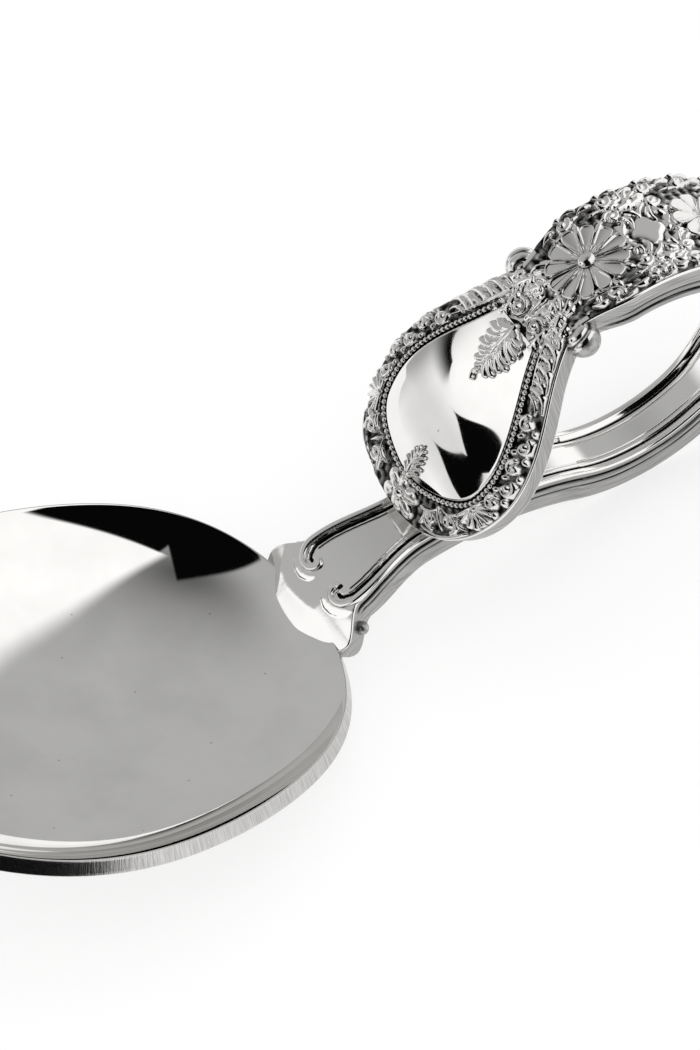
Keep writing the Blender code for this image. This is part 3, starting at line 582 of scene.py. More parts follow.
# Finishes: a material and the slot that it fills
MIRROR = mirror_silver(), "mirror_silver"
POLISHED = oxidised_silver("buffed_sterling_silver", "#F0EFED", 0.09, 0.5, 3.0, True), "polished_silver"
STRUCK = (oxidised_silver("die_struck_oxidised_sterling_silver", "#E6E5E3", 0.13, 0.55, 0.6, False),
          "struck_silver")


# Meshes

def lay_down(points):
    """Spoon-frame millimetres to table metres: a turn about Y, a shift, and the worn flats at the table."""
    x, y, z = np.moveaxis(points, -1, 0)
    level = z * math.cos(TILT) - x * math.sin(TILT) + TABLE_Z
    ahead = x * math.cos(TILT) + z * math.sin(TILT) + TABLE_X
    return MM * np.stack([ahead, y, np.maximum(level, 0)], axis=-1)


def skin(name, rings, finish, tarnish_and_painted_shade=None, ground=None, uv=None):
    """A closed piece through rings of points: quads join neighbours, each ring closes on itself, and a fan
    to its middle closes each end. tarnish_and_painted_shade is how dark each point is, from 0 to 1: tarnish
    by how deep it lies in the pattern, and on the strap's sides and the knops' outer sides a painted shade
    that stands in for a darker reflection. ground is how much a wheel has ground it, also from 0 to 1, and uv
    its place on the surface in millimetres."""
    material, slot = finish
    rows, count = rings.shape[:2]
    laid = lay_down(rings)
    points = np.vstack([laid.reshape(-1, 3), laid[[0, -1]].mean(axis=1)])
    row, turn = np.meshgrid(np.arange(rows - 1), np.arange(count), indexing="ij")
    after = (turn + 1) % count
    low, high = row * count, (row + 1) * count
    quads = np.stack([low + turn, low + after, high + after, high + turn], axis=-1).reshape(-1, 4)
    turn = np.arange(count)
    after = (turn + 1) % count
    last = (rows - 1) * count
    first_fan = np.stack([np.full(count, rows * count), after, turn], axis=-1)
    last_fan = np.stack([np.full(count, rows * count + 1), last + turn, last + after], axis=-1)
    fans = np.vstack([first_fan, last_fan])
    triangles = np.vstack([quads[:, :3], quads[:, [0, 2, 3]], fans])
    if np.linalg.det(points[triangles]).sum() < 0:
        quads = quads[:, ::-1]
        fans = fans[:, ::-1]
    corners = np.concatenate([quads.ravel(), fans.ravel()])
    starts = np.concatenate([4 * np.arange(len(quads)), 4 * len(quads) + 3 * np.arange(len(fans))])
    mesh = bpy.data.meshes.new(name)
    mesh.vertices.add(len(points))
    mesh.vertices.foreach_set("co", points.ravel())
    mesh.loops.add(len(corners))
    mesh.loops.foreach_set("vertex_index", corners)
    mesh.polygons.add(len(starts))
    mesh.polygons.foreach_set("loop_start", starts)
    mesh.update(calc_edges=True)
    mesh.shade_smooth()
    pairs = np.empty(2 * len(mesh.edges), dtype=np.int32)
    mesh.edges.foreach_get("vertices", pairs)
    pairs = pairs.reshape(-1, 2)
    end_edge = (pairs < count).all(axis=1) | ((pairs >= last) & (pairs < rows * count)).all(axis=1)
    mesh.attributes.new("sharp_edge", "BOOLEAN", "EDGE").data.foreach_set("value", end_edge)
    for label, values in (("tarnish_and_painted_shade", tarnish_and_painted_shade), ("ground", ground)):
        if values is not None:
            ends = values[[0, -1]].mean(axis=1)
            layer = mesh.attributes.new(label, "FLOAT", "POINT")
            layer.data.foreach_set("value", np.concatenate([values.ravel(), ends]))
    if uv is not None:
        flat = np.vstack([uv.reshape(-1, 2), uv[[0, -1]].mean(axis=1)])
        mesh.uv_layers.new(name="surface_mm").data.foreach_set("uv", flat[corners].ravel())
    mesh.materials.append(material)
    piece = bpy.data.objects.new(name, mesh)
    bpy.context.scene.collection.objects.link(piece)
    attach(piece, "root")
    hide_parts(name)


# Strokes of the struck ornament: rows of (along, across, half width, height)

def struck(places, strokes):
    """Height of strokes over places. The top of a stroke is an arch over its half width, and where strokes
    cross the higher one shows."""
    flat = places.reshape(-1, 2)
    top = np.zeros(len(flat))
    for stroke in strokes:
        reach = stroke[:, 2].max()
        lowest, highest = stroke[:, :2].min(axis=0) - reach, stroke[:, :2].max(axis=0) + reach
        near = ((flat > lowest) & (flat < highest)).all(axis=1)
        start, run = stroke[:-1], np.diff(stroke, axis=0)
        offset = flat[near][:, None] - start[:, :2]
        length_squared = np.maximum((run[:, :2]**2).sum(axis=-1), TINY)
        share = np.clip((offset * run[:, :2]).sum(axis=-1) / length_squared, 0, 1)
        gap = np.linalg.norm(offset - share[..., None] * run[:, :2], axis=-1)
        width, height = (start[:, k] + share * run[:, k] for k in (2, 3))
        rise = (height * arched(gap / width)).max(axis=1)
        top[near] = np.maximum(top[near], rise)
    return top.reshape(places.shape[:-1])


def bowed(start, end, bend, count=9):
    """Quadratic curve from start to end whose middle is pushed aside by a share of its length."""
    start, end = np.array(start, float), np.array(end, float)
    t = np.linspace(0, 1, count)[:, None]
    pull = (start + end) / 2 + 2 * bend * left_of(end - start)
    return (1 - t)**2 * start + 2 * (1 - t) * t * pull + t**2 * end


def drawn(path, width, height, tip=0.25):
    """Stroke along a path that is fullest a third of the way and runs out to a narrow tip, whose width is a
    share of the fullest."""
    t = np.linspace(0, 1, len(path))
    swell = swelling(t, ((0, 0.7), (0.35, 1), (1, tip)))
    return np.column_stack([path, width * swell, height * np.sqrt(swell)])


def sprigs(rows):
    """Strokes from rows of start, end, bend, width and height."""
    return [drawn(bowed(start, end, bend), width, height) for start, end, bend, width, height in rows]


def dot(radius, height):
    """Stroke of a round knob at the origin."""
    return np.array([(0, 0, radius, height), (DOT_LENGTH, 0, radius, height)])


def curl(centre, radius, start, turns, width, height):
    """Stroke of a scroll: a spiral from an angle in degrees whose radius shrinks evenly, ending in a round
    eye at its centre."""
    t = np.linspace(0, 1, CURL_POINTS)
    spiral = radius * (1 - CURL_CLOSES * t)[:, None] * spoke(np.radians(start) + 2 * math.pi * turns * t)
    swell = swelling(t, ((0, 1), (0.75, 0.7), (1, 1.3)))
    return np.column_stack([np.array(centre) + spiral, width * swell, height * (0.75 + 0.25 * t)])


def frond(start, end, bend, spread, fingers, width, height):
    """Strokes of a leaf: a bowed rib, and fingers that leave it forwards on both sides, longest in its lower
    half and shorter towards its tip."""
    rib = bowed(start, end, bend, fingers + 2)
    run = unit(np.gradient(rib, axis=0))
    strokes = [drawn(rib, width, height)]
    for k in range(fingers):
        reach = spread * math.sin(math.pi * (0.25 + 0.6 * k / fingers))
        for side in (1, -1):
            tip = rib[k] + reach * (side * left_of(run[k]) * FINGER_OUT + run[k] * FINGER_ON)
            strokes.append(drawn(bowed(rib[k], tip, -FINGER_BEND * side), width, FINGER_LOWER * height))
    return strokes


def plume(centre, inner, outer, start, stop, lean, count, width, height):
    """Strokes of leaf fingers that leave a circle between two directions and lean round it, longest in the
    middle, in degrees."""
    angles = np.radians(np.linspace(start, stop, count))
    reach = outer * (0.8 + 0.2 * np.sin(np.linspace(0.2, math.pi - 0.2, count)))
    feet = np.array(centre) + inner * spoke(angles)
    tips = np.array(centre) + reach[:, None] * spoke(angles + math.radians(lean))
    bend = -PLUME_BEND * np.sign(lean)
    return [drawn(bowed(foot, tip, bend), width, height, tip=0.35) for foot, tip in zip(feet, tips)]


def fan(pivot, aim, spread, length, count, width, height):
    """Strokes of a shell: ribs that spread from a pivot round the direction it aims in, in degrees."""
    tips = np.array(pivot) + length * spoke(np.radians(np.linspace(aim - spread, aim + spread, count)))
    return [drawn(bowed(pivot, tip, 0), width, height, tip=1.0) for tip in tips]


def sunk_share(rise, full):
    """How deep a place lies between the strokes: 1 on the ground, 0 from two thirds of their full height."""
    return np.clip(1 - 1.5 * rise / full, 0, 1)


def matted(s, y):
    """Pebbled ground between the leaves, as a sum of waves that cross at odd angles."""
    waves = [np.sin(2 * math.pi / MATT_PITCH * (s * math.cos(turn) + y * math.sin(turn)) + turn)
             for turn in MATT_TURNS]
    return MATT_RISE * (1 + sum(waves) / 2)


# Kinds of piece

def plain(s, y):
    """A smooth face: no rise and no recess."""
    return np.zeros(np.broadcast(s, y).shape), np.zeros(np.broadcast(s, y).shape)


def no_groove(s, depth):
    """A smooth side."""
    return np.zeros(np.broadcast(s, depth).shape)


def strap(name, s, front, rear, groove, counts):
    """A length of the strap as one loft: front face, rounded edge, side, edge, back face, edge, side, edge.
    front and rear give the rise over the plain face and the tarnish in its hollows, groove the cut into the
    sides at a depth below the front, and counts the points across the front, across the back and down a side.
    The sides are darkened with a flat painted shade, which stands in for a darker reflection, and the
    grooves' tarnish over it."""
    across_front, across_rear, down_side = counts
    s = s[:, None]
    half = half_width(s)
    edge = np.minimum(EDGE_ROUND, half / 2)
    front_y = np.linspace(1, -1, across_front) * (half - edge)
    rear_y = np.linspace(-1, 1, across_rear) * (half - edge)
    front_rise, front_recess = front(s, front_y)
    rear_rise, rear_recess = rear(s, rear_y)
    front_h = -thickness(s) / 2 - front_rise
    rear_h = back(s, rear_y) + rear_rise
    turn = np.radians(np.linspace(0, 90, EDGE_STEPS + 2)[1:-1])
    down = np.linspace(0, 1, down_side)
    sides = []
    for top, low in ((front_h[:, -1:], rear_h[:, :1]), (front_h[:, :1], rear_h[:, -1:])):
        wall_h = top + edge + (low - top - 2 * edge) * down
        cut = groove(s, wall_h - top)
        upper = half - edge + edge * np.sin(turn), top + edge - edge * np.cos(turn)
        lower = half - edge + edge * np.cos(turn), low - edge + edge * np.sin(turn)
        still = np.zeros(upper[0].shape)
        # each side's wall gets painted shade: a flat darkening that stands in for a darker reflection, with
        # the grooves' tarnish added
        sides.append((np.hstack([upper[0], half - cut, lower[0]]), np.hstack([upper[1], wall_h, lower[1]]),
                      np.hstack([still, np.clip(WALL_PAINTED_SHADE + cut / GROOVE_DARK, 0, 1), still])))
    (right_y, right_h, right_tarnish_and_painted_shade), (left_y, left_h, left_tarnish_and_painted_shade) = sides
    y = np.hstack([front_y, -right_y, rear_y, left_y[:, ::-1]])
    h = np.hstack([front_h, right_h, rear_h, left_h[:, ::-1]])
    tarnish_and_painted_shade = np.hstack([front_recess, right_tarnish_and_painted_shade, rear_recess, left_tarnish_and_painted_shade[:, ::-1]])
    step_y, step_h = (np.diff(grid, axis=1, prepend=grid[:, :1]) for grid in (y, h))
    around = np.cumsum(np.hypot(step_y, step_h), axis=1)
    skin(name, on_strap(s, y, h), POLISHED, tarnish_and_painted_shade, uv=joined(s, around))


def strip(name, inner, outer, strokes, mirror):
    """A border between two lines of (s, y): strokes raised over the back face on a grid of distance along
    and across the border, running out to nothing at both ends, and closed underneath."""
    middle = along((inner + outer) / 2)
    a = np.linspace(0, middle[-1], int(middle[-1] / STRIP_STEP))
    low, high = (np.stack([np.interp(a, middle, line[:, k]) for k in (0, 1)], axis=-1)[:, None]
                 for line in (inner, outer))
    share = np.linspace(0, 1, STRIP_ACROSS)[:, None]
    s, y = np.moveaxis(low + (high - low) * share, -1, 0)
    width = np.linalg.norm(high - low, axis=-1)
    places = joined(a[:, None], (share[:, 0] - 0.5) * width)
    ends = ramp(np.minimum(a, a[-1] - a), 0, STRIP_FADE)[:, None]
    rise = np.maximum(struck(places, strokes), matted(*np.moveaxis(places, -1, 0))) * np.sqrt(ends)
    ground = back(s, y) + FILM
    h = np.hstack([ground + rise, ground[:, [-1, 0]] - ROOT])
    s, y = (np.hstack([grid, grid[:, [-1, 0]]]) for grid in (s, y))
    tarnish_and_painted_shade = np.hstack([sunk_share(rise, BORDER_HEIGHT), np.ones((len(a), 2))])
    skin(name, on_strap(s, y * mirror, h), STRUCK, tarnish_and_painted_shade)


def boss(name, s, reach, rise, base, y=0, mirror=1, finish=STRUCK, steps=(30, 120)):
    """An ornament round a point of the back face: its outline is reach(turn), its top rise(turn, share of the
    way out), which gives height and recess, and its foot goes into the metal under it. steps are the rows
    outwards and the points round."""
    turn = np.linspace(0, 2 * math.pi, steps[1], endpoint=False)[None]
    share = np.linspace(BOSS_INNER, 1, steps[0])[:, None]
    height, tarnish_and_painted_shade = rise(turn, share)
    a = s + reach(turn) * share * np.cos(turn)
    b = y + reach(turn) * share * np.sin(turn)
    ground = back(a, b) + base
    rows = [slice(None), slice(-1, None), slice(0, 1)]
    h = np.vstack([ground + height, ground[-1:] - ROOT, ground[:1] - ROOT])
    a, b = (np.vstack([grid[row] for row in rows]) for grid in (a, b))
    tarnish_and_painted_shade = np.vstack([tarnish_and_painted_shade, np.ones((2, steps[1]))])
    skin(name, on_strap(a, mirror * b, h), finish, tarnish_and_painted_shade)


def stroke_top(reach, strokes, full):
    """Top of a boss drawn in strokes round its own centre; full is the height that clears the tarnish."""
    def rise(turn, share):
        height = struck((reach(turn) * share)[..., None] * spoke(turn), strokes)
        return height, sunk_share(height, full)

    return rise


def disc(radius):
    """Outline of a round boss."""
    return lambda turn: np.full(turn.shape, radius)


def oval(along_half, across_half):
    """Outline of an oval boss."""
    return lambda turn: 1 / np.hypot(np.cos(turn) / along_half, np.sin(turn) / across_half)


def petal_outline(count, radius, notch):
    """Outline of a flower: a circle with a notch between each pair of petals."""
    return lambda turn: radius * (1 - notch * (1 - np.abs(np.cos(count * turn / 2)))**2)


def petal_top(count, radius):
    """Top of a flower: dished petals that rise outwards, some more than others, each with a thin raised lip,
    parted by fine furrows, with radial lines cut round the heart."""
    def rise(turn, share):
        phase = np.abs((count * turn / (2 * math.pi) + 0.5) % 1 - 0.5) * 2
        beside = (1 - phase) * math.pi / count * radius * share
        from_tip = (1 - share) * radius
        opening = FURROW_HALF + FURROW_OPENS * ramp(share, 0.6, 1)
        furrow = np.clip(1 - beside / opening, 0, 1) * ramp(share, 0, 0.2)
        from_lip = np.minimum(beside, from_tip) - LIP_IN
        lip = np.exp(-(from_lip / LIP_HALF)**2) * ramp(share, 0.35, 0.55)
        rim = np.clip(1 - from_tip / PETAL_RIM, 0, 1)
        line = np.clip(1 - share / HEART, 0, 1) * np.clip(np.cos(3 * count * turn) * 2 - 1, 0, 1)
        turned_up = np.sin(2.4 * np.floor(count * turn / (2 * math.pi) + 0.5))
        dish = PETAL_DISH * phase**2 * share + PETAL_TURN_UP * turned_up * share**2
        petal = PETAL_HEIGHT * (0.8 + 0.2 * share - 0.6 * np.maximum(furrow, rim))
        top = petal + LIP_RISE * lip - HEART_CUT * line + dish
        return top, np.clip(0.9 * furrow + 0.8 * line + 0.4 * rim, 0, 1)

    return rise


# Bowl

def bowl_surface(turn, radius):
    """Inner face of the bowl and its outward normal and upward slope there: an egg-shaped rim, and a depth
    that rises with powers of the radius."""
    cos, sin = np.cos(turn), np.sin(turn)
    egg = 1 + BOWL_EGG * cos**3
    level = sum(share * radius**power for share, power in BOWL_RISE)
    steep = sum(share * power * radius**(power - 1) for share, power in BOWL_RISE)
    point = joined(BOWL_LENGTH / 2 * (radius * cos - 1), BOWL_WIDTH / 2 * radius * sin * egg,
                   BOWL_DEPTH * (level - 1))
    outward = joined(BOWL_LENGTH / 2 * cos, BOWL_WIDTH / 2 * sin * egg, BOWL_DEPTH * steep)
    round_y = cos * egg - 3 * BOWL_EGG * cos**2 * sin**2
    around = joined(-BOWL_LENGTH / 2 * sin, BOWL_WIDTH / 2 * round_y, 0.0 * radius)
    normal = -unit(np.cross(outward, around))
    return point, normal, unit(np.cross(normal, unit(around)))


def make_bowl():
    """Rows from the middle of the inside up to the rim, over the ground end of the wall, which falls outwards
    between two small rounds, and down the outside, which is the inside moved out by the wall."""
    turn = np.linspace(0, 2 * math.pi, BOWL_TURNS, endpoint=False)[None]
    radius = 1 - (1 - np.linspace(BOWL_INNER, 1, BOWL_ROWS)[:, None])**ROWS_TO_RIM
    inside, normal, slope = bowl_surface(turn, radius)
    outside = inside + BOWL_WALL * normal
    rim, out, up = inside[-1:], normal[-1:], slope[-1:]
    bend = np.radians(np.linspace(0, 90, RIM_BEND_ROWS))[:, None, None]
    first = rim + RIM_ROUND * (out - up) - RIM_ROUND * (out * np.cos(bend) - up * np.sin(bend))
    flat = np.linspace(0, 1, RIM_FLAT_ROWS)[:, None, None]
    inner_end, outer_end = rim + RIM_ROUND * out, rim + (BOWL_WALL - RIM_ROUND) * out - RIM_FALL * up
    end = inner_end + (outer_end - inner_end) * flat
    last = outer_end - RIM_ROUND * up + RIM_ROUND * (up * np.cos(bend) + out * np.sin(bend))
    to_rim = (1 - radius[:, 0]) * BOWL_WIDTH / 2
    above, under = to_rim > RIM_ROUND, to_rim > RIM_FALL + RIM_ROUND
    rings = np.vstack([inside[above], first, end[1:-1], last, outside[under][::-1]])
    start, stop = above.sum() + len(first) - 2, above.sum() + len(first) + len(end)
    ground = np.zeros(rings.shape[:2])
    ground[start:stop] = 1
    uv = np.zeros(rings.shape[:2] + (2,))
    uv[start:stop, :, 0] = np.linspace(0, BOWL_WALL, stop - start)[:, None]
    uv[..., 1] = along(np.vstack([rim[0], rim[0, :1]]))[:-1]
    skin("bowl", rings, MIRROR, ground=ground, uv=uv)


# Front of the shoulder, stem and loop

def stem_groove(s, depth):
    """Two lines round the side of the strap: a broad groove under the front edge and a fine one lower, each
    cut deep x e^-(distance / half width)^power."""
    cut = sum(deep * np.exp(-((depth - below) / half)**power) for deep, below, half, power in SIDE_GROOVES)
    return cut * (ramp(s, *SIDE_FROM) * ramp(S_WAIST - s, *SIDE_UNTIL))


def front_lines():
    """Grooves of the stem's front: one along the inside of each raised edge, bent into the crook, and a fine
    line beside it."""
    s = np.linspace(S_RING + LINES_OVER, NECK_AT, LINE_POINTS)
    groove = np.vstack([np.column_stack([s, half_width(s) - GROOVE_AT]), CROOK])
    groove_half = swelling(groove[:, 0], GROOVE_SWELL)
    line_at, line_half, line_depth = STEM_LINE
    line = np.column_stack([s, half_width(s) - line_at])
    return [np.column_stack([groove, groove_half, np.full(len(groove), GROOVE_DEPTH)]),
            np.column_stack([line, np.full(len(line), line_half), np.full(len(line), line_depth)])]


def turned_down(past, turn):
    """Fall past an edge: it turns over on a parabola and then goes on evenly."""
    return np.where(past < turn, np.clip(past, 0, None)**2 / (2 * turn), past - turn / 2)


def shoulder_drop(s, y):
    """Fall of the shoulder below the strap's plain front: it leans to the bowl, falls from a crest to both
    sides and at its left corner, and past a curved line rolls down steeper."""
    s, y = np.broadcast_arrays(s, y)
    lean = SHOULDER_LEAN * turned_down(NECK_AT - s, LEAN_TURN)
    slope = np.where(y < CREST, CROWN_RIGHT, CROWN_LEFT)
    crown = slope * turned_down(np.abs(y - CREST) - CREST_HALF, CROWN_TURN)
    roll = turned_down(eased(y, ROLL_LINE) - s, ROLL_TURN) * eased(y, ROLL_SLOPE)
    corner = CORNER_SLOPE * turned_down(y - CORNER[0] - CORNER[1] * s, CORNER_TURN)
    return lean + crown * eased(s, [(CROWN_FULL, 1.0), (NECK_AT, 0.0)]) + roll + corner


def raised_edge(inset):
    """Rise of the front's edge, by the distance in from it: full out to its middle, then a blunt arch."""
    return EDGE_RISE * arched((np.maximum(inset, EDGE_AT) - EDGE_AT) / EDGE_HALF, 4)


def stem_front(s, y):
    """Front of the shoulder and stem: a flat panel between raised edges with its grooves cut in, a low collar
    before each hook of the threads, and the shoulder's fall to the bowl."""
    places = joined(s, np.abs(y))
    cut = struck(places, front_lines())
    edge = raised_edge(half_width(s) - np.abs(y)) * ramp(s - NECK_AT, 0, EDGE_FADE)
    collar = np.array([(at - COLLAR_AHEAD, across, COLLAR_HALF, COLLAR_RISE) for at, across in COLLAR_ROUND])
    rise = edge + struck(places, [collar]) - cut - shoulder_drop(s, y)
    return rise, np.clip(cut / GROOVE_DARK, 0, 1)


def loop_front(s, y):
    """Inside of the loop: the stem's raised edge, groove and fine line, carried on round the ring."""
    inset = half_width(s) - np.abs(y)
    cut = sum(depth * arched((inset - at) / half) for at, half, depth in LOOP_LINES)
    fade = ramp(S_WAIST - s, *LOOP_FADE)
    return (raised_edge(inset) - cut) * fade, np.clip(cut / GROOVE_DARK, 0, 1) * fade


def make_threads():
    """Threads over the raised edges of the stem's front: a half-round band along a path that runs down inside
    the edge and hooks inwards at the shoulder, swelling into an eye."""
    s = np.linspace(S_RING, NECK_AT, THREAD_POINTS)
    path = np.vstack([np.column_stack([s, half_width(s) - EDGE_AT]), HOOK])
    # each corner is cut twice, a quarter of the way to its neighbours
    for again in range(2):
        near, far = path[:-1] * 0.75 + path[1:] * 0.25, path[:-1] * 0.25 + path[1:] * 0.75
        path = np.stack([near, far], axis=1).reshape(-1, 2)
    side = left_of(unit(np.gradient(path, axis=0)))
    width = swelling(along(path)[-1] - along(path), THREAD_SWELL)
    across = np.linspace(-1, 1, THREAD_ACROSS)
    spot = path[:, None] + side[:, None] * (width[:, None] * across)[..., None]
    proud = EDGE_RISE + THREAD_PROUD * ramp(S_RING - path[:, :1], 0, THREAD_FADE)
    rise = proud * arched(across, 4)
    spot = np.hstack([spot, spot[:, -1:], spot[:, :1]])
    rise = np.hstack([rise, np.full((len(path), 2), -ROOT)])
    uv = joined(along(path)[:, None], THREAD_STEP * np.arange(rise.shape[1]))
    for side_name, sign in SIDES:
        s, y = spot[..., 0], sign * spot[..., 1]
        h = shoulder_drop(s, y) - thickness(s) / 2 - rise
        skin(side_name + "_thread", on_strap(s, y, h), POLISHED, np.zeros(h.shape), uv=uv)


# Back of the loop

# Drawn for one half. A scroll is its middle (along, across), its radius, the start of its curl, the two
# directions between which leaf fingers leave it, and their lean, in degrees. A leaf is its foot, tip, bend,
# spread and number of fingers.
BAND_SCROLLS = (
    ((57.0, 1.95), 0.5, 20, 80, 250, 30), ((54.3, 2.1), 0.45, 200, 60, -110, -30),
    ((50.0, 1.9), 0.5, 20, 80, 250, 30), ((47.4, 1.3), 0.45, 200, 60, -110, -30),
    ((63.0, 1.7), 0.4, 90, 150, 300, 30), ((55.8, 2.5), 0.3, 90, 10, 170, 20))
BAND_LEAVES = (
    ((57.2, 0.0), (56.5, 1.3), -0.15, 0.6, 3), ((54.4, 0.0), (54.0, 1.5), 0.15, 0.6, 4),
    ((50.2, 0.0), (48.6, 0.2), 0.05, 0.8, 4), ((48.8, 0.2), (46.2, 0.4), 0.05, 0.8, 5),
    ((61.9, 0.3), (63.2, 0.7), 0.2, 0.7, 3))
WAIST_LEAVES = (
    ((62.4, 0.4), (63.9, 1.2), 0.15, 0.6, 4), ((62.3, 1.2), (64.6, 2.3), 0.12, 0.8, 5),
    ((62.6, 2.4), (64.6, 2.7), 0.1, 0.6, 4), ((64.0, 1.7), (66.0, 2.0), -0.1, 0.55, 4))
WAIST_RIB = ((62.5, 0.0), (64.3, 0.0), 0, 0.22, 0.34)  # start, end, bend, width, height
ROSETTE_RAYS = (2.2, 2.6, 3.05)  # points of the short rays round the rosette, out from its middle


def band_strokes():
    """Scrolls and leaf sprays on the ground between the flowers of the band, and rays round the rosette."""
    strokes = []
    for middle, radius, start, leaf_from, leaf_to, lean in BAND_SCROLLS:
        strokes.append(curl(middle, radius, start, turns=1.2, width=0.2, height=0.44))
        strokes += plume(middle, radius + 0.2, radius + 1.15, leaf_from, leaf_to, lean, count=6,
                         width=0.24, height=0.4)
    for leaf in BAND_LEAVES:
        strokes += frond(*leaf, width=0.23, height=0.34)
    for turn in np.radians(np.arange(15, 180, 30)):
        ray = np.array([ring_station(ROSETTE_AT), 0]) + np.outer(ROSETTE_RAYS, spoke(turn))
        strokes.append(drawn(ray, width=0.32, height=0.3))
    return strokes


def waist_strokes():
    """Leaves that spread from the waist down to the volutes and out to the borders."""
    strokes = sprigs([WAIST_RIB])
    for leaf in WAIST_LEAVES:
        strokes += frond(*leaf, width=0.25, height=0.36)
    return strokes


def loop_back(s, y):
    """Outside of the loop: plain below, and on its broad top, past an arched edge, leaf sprays on a dark
    ground."""
    start = FIELD_FROM + FIELD_ARCH * (1 - (y / half_width(s))**2)
    field = ramp(s - start, 0, FIELD_FADE) * ramp(half_width(s) - np.abs(y), *FIELD_SIDE)
    rise = np.maximum(struck(joined(s, np.abs(y)), band_strokes()), matted(s, y)) * field
    return rise, sunk_share(rise, BAND_CLEAR) * field


def shield_back(s, y):
    """Back of the shield: bright at the rim, dark with tarnish under the ornaments, and buffed again over the
    leaves at the waist."""
    field = ramp(half_width(s) - np.abs(y), *FIELD_RIM)
    waist = field * ramp(S_PANEL - s, *WAIST_UNTIL)
    rise = np.maximum(struck(joined(s, np.abs(y)), waist_strokes()), matted(s, y)) * waist
    return rise, sunk_share(rise, WAIST_CLEAR) * (field - WAIST_BRIGHT * waist)


def make_strap():
    """The four lengths of the strap, which meet end to end, with closer rows where the ornament is."""
    # a run of rows goes from one place to another, and its last number is how many rows it has
    nose = TONGUE_REACH * (1 - np.cos(np.linspace(NOSE_LEFT, math.pi / 2, 40)))
    shoulder_s = np.concatenate([nose, np.linspace(TONGUE_REACH, JOINT_SHOULDER, 45)[1:]])
    stem_s = np.linspace(JOINT_SHOULDER, S_RING, 150)
    plain_s = np.linspace(S_RING, FIELD_FROM, 110)[:-1]
    loop_s = np.concatenate([plain_s, np.linspace(FIELD_FROM, S_WAIST, 290)])
    neck = np.linspace(S_WAIST, S_RING_END, 70)[:-1]
    toe = S_WIDEST + SHIELD_ROUND * np.sin(np.linspace(0, math.pi / 2 - TOE_LEFT, 70))
    shield_s = np.concatenate([neck, np.linspace(S_RING_END, S_WIDEST, 60)[:-1], toe])
    strap("shoulder", shoulder_s, stem_front, plain, stem_groove, (110, 24, 16))
    strap("stem", stem_s, stem_front, plain, stem_groove, (110, 24, 24))
    strap("loop", loop_s, loop_front, loop_back, stem_groove, (64, 110, 18))
    strap("shield", shield_s, plain, shield_back, no_groove, (24, 150, 16))


# Face of the shield

def shield_outline(inset):
    """Left half of the shield's outline from waist to tip as (s, y), moved in by inset(distance to tip)."""
    turn = np.linspace(math.pi / 2, 0, PATH_POINTS)
    toe = S_WIDEST + SHIELD_ROUND * np.cos(turn)**(2 / SHIELD_BLUNT)
    s = np.concatenate([np.linspace(S_WAIST, S_WIDEST, PATH_POINTS)[:-1], toe])
    edge = np.stack([s, half_width(s)], axis=-1)
    # two points past the tip, so that the outline is square to the axis there
    whole = np.vstack([edge, (edge * [1, -1])[-2:-4:-1]])
    run = unit(np.gradient(whole, along(whole), axis=0))[:len(edge)]
    return edge - left_of(run) * inset(S_TIP - s)[:, None]


def bead_inset(from_tip):
    """Distance from the outline to the bead row, greater at the toe."""
    return eased(from_tip, [(0, TOE_BORDER), (TOE_BLEND, SIDE_BORDER)])


def make_panel():
    """The mirror panel: rows down the shield, each across its width with a rounded step down at the edges."""
    foot = S_TIP - TOE_BORDER - BEAD_ROOM
    edge = shield_outline(lambda d: bead_inset(d) + BEAD_ROOM)
    s = S_PANEL + (foot - S_PANEL) * np.sin(np.linspace(0.0, math.pi / 2 - PANEL_LEFT, PANEL_ROWS))[:, None]
    half = np.interp(s, edge[:, 0], edge[:, 1])
    step = np.radians(np.linspace(0, 90, PANEL_LIP_ROWS + 1)[:-1])
    lip = np.minimum(PANEL_LIP, half / 2)
    left = half - lip + lip * np.cos(step)
    y = np.hstack([left, np.linspace(1, -1, PANEL_COLUMNS) * (half - lip), -left[:, ::-1],
                   -half * PANEL_FOOT, half * PANEL_FOOT])
    over = PANEL_THICK * np.sin(step)
    rise = np.concatenate([over, np.full(PANEL_COLUMNS, PANEL_THICK), over[::-1], [-ROOT, -ROOT]])
    skin("shield_panel", on_strap(s, y, back(s, y) + rise), MIRROR)


def make_bead_row():
    """One beaded wire round the panel: a tube whose radius is a row of half circles, never below a third."""
    edge = shield_outline(bead_inset)
    edge = edge[edge[:, 0] > S_PANEL]
    whole = np.vstack([edge, (edge * [1, -1])[-2::-1]])
    distance = along(whole)
    beads = int(distance[-1] / BEAD_PITCH)
    at = np.linspace(0, distance[-1], beads * BEAD_ROWS + 1)
    s, y = (np.interp(at, distance, whole[:, k]) for k in (0, 1))
    run = unit(np.gradient(np.stack([s, y], axis=-1), axis=0))
    swing = np.abs((np.arange(len(at)) / BEAD_ROWS) % 1 - 0.5) * 2
    radius = BEAD_RADIUS * np.maximum(arched(swing), BEAD_NECK)
    turn = np.linspace(0, 2 * math.pi, BEAD_SIDES, endpoint=False)
    out, up = radius[:, None] * np.cos(turn), radius[:, None] * np.sin(turn)
    spot_s, spot_y = s[:, None] - run[:, 1:] * out, y[:, None] + run[:, :1] * out
    h = back(s, y)[:, None] + BEAD_RADIUS + up
    tarnish_and_painted_shade = np.clip(1.2 - (up + BEAD_RADIUS) / (1.2 * BEAD_RADIUS) + swing[:, None]**4, 0, 1)
    skin("bead_row", on_strap(spot_s, spot_y, h), STRUCK, tarnish_and_painted_shade)


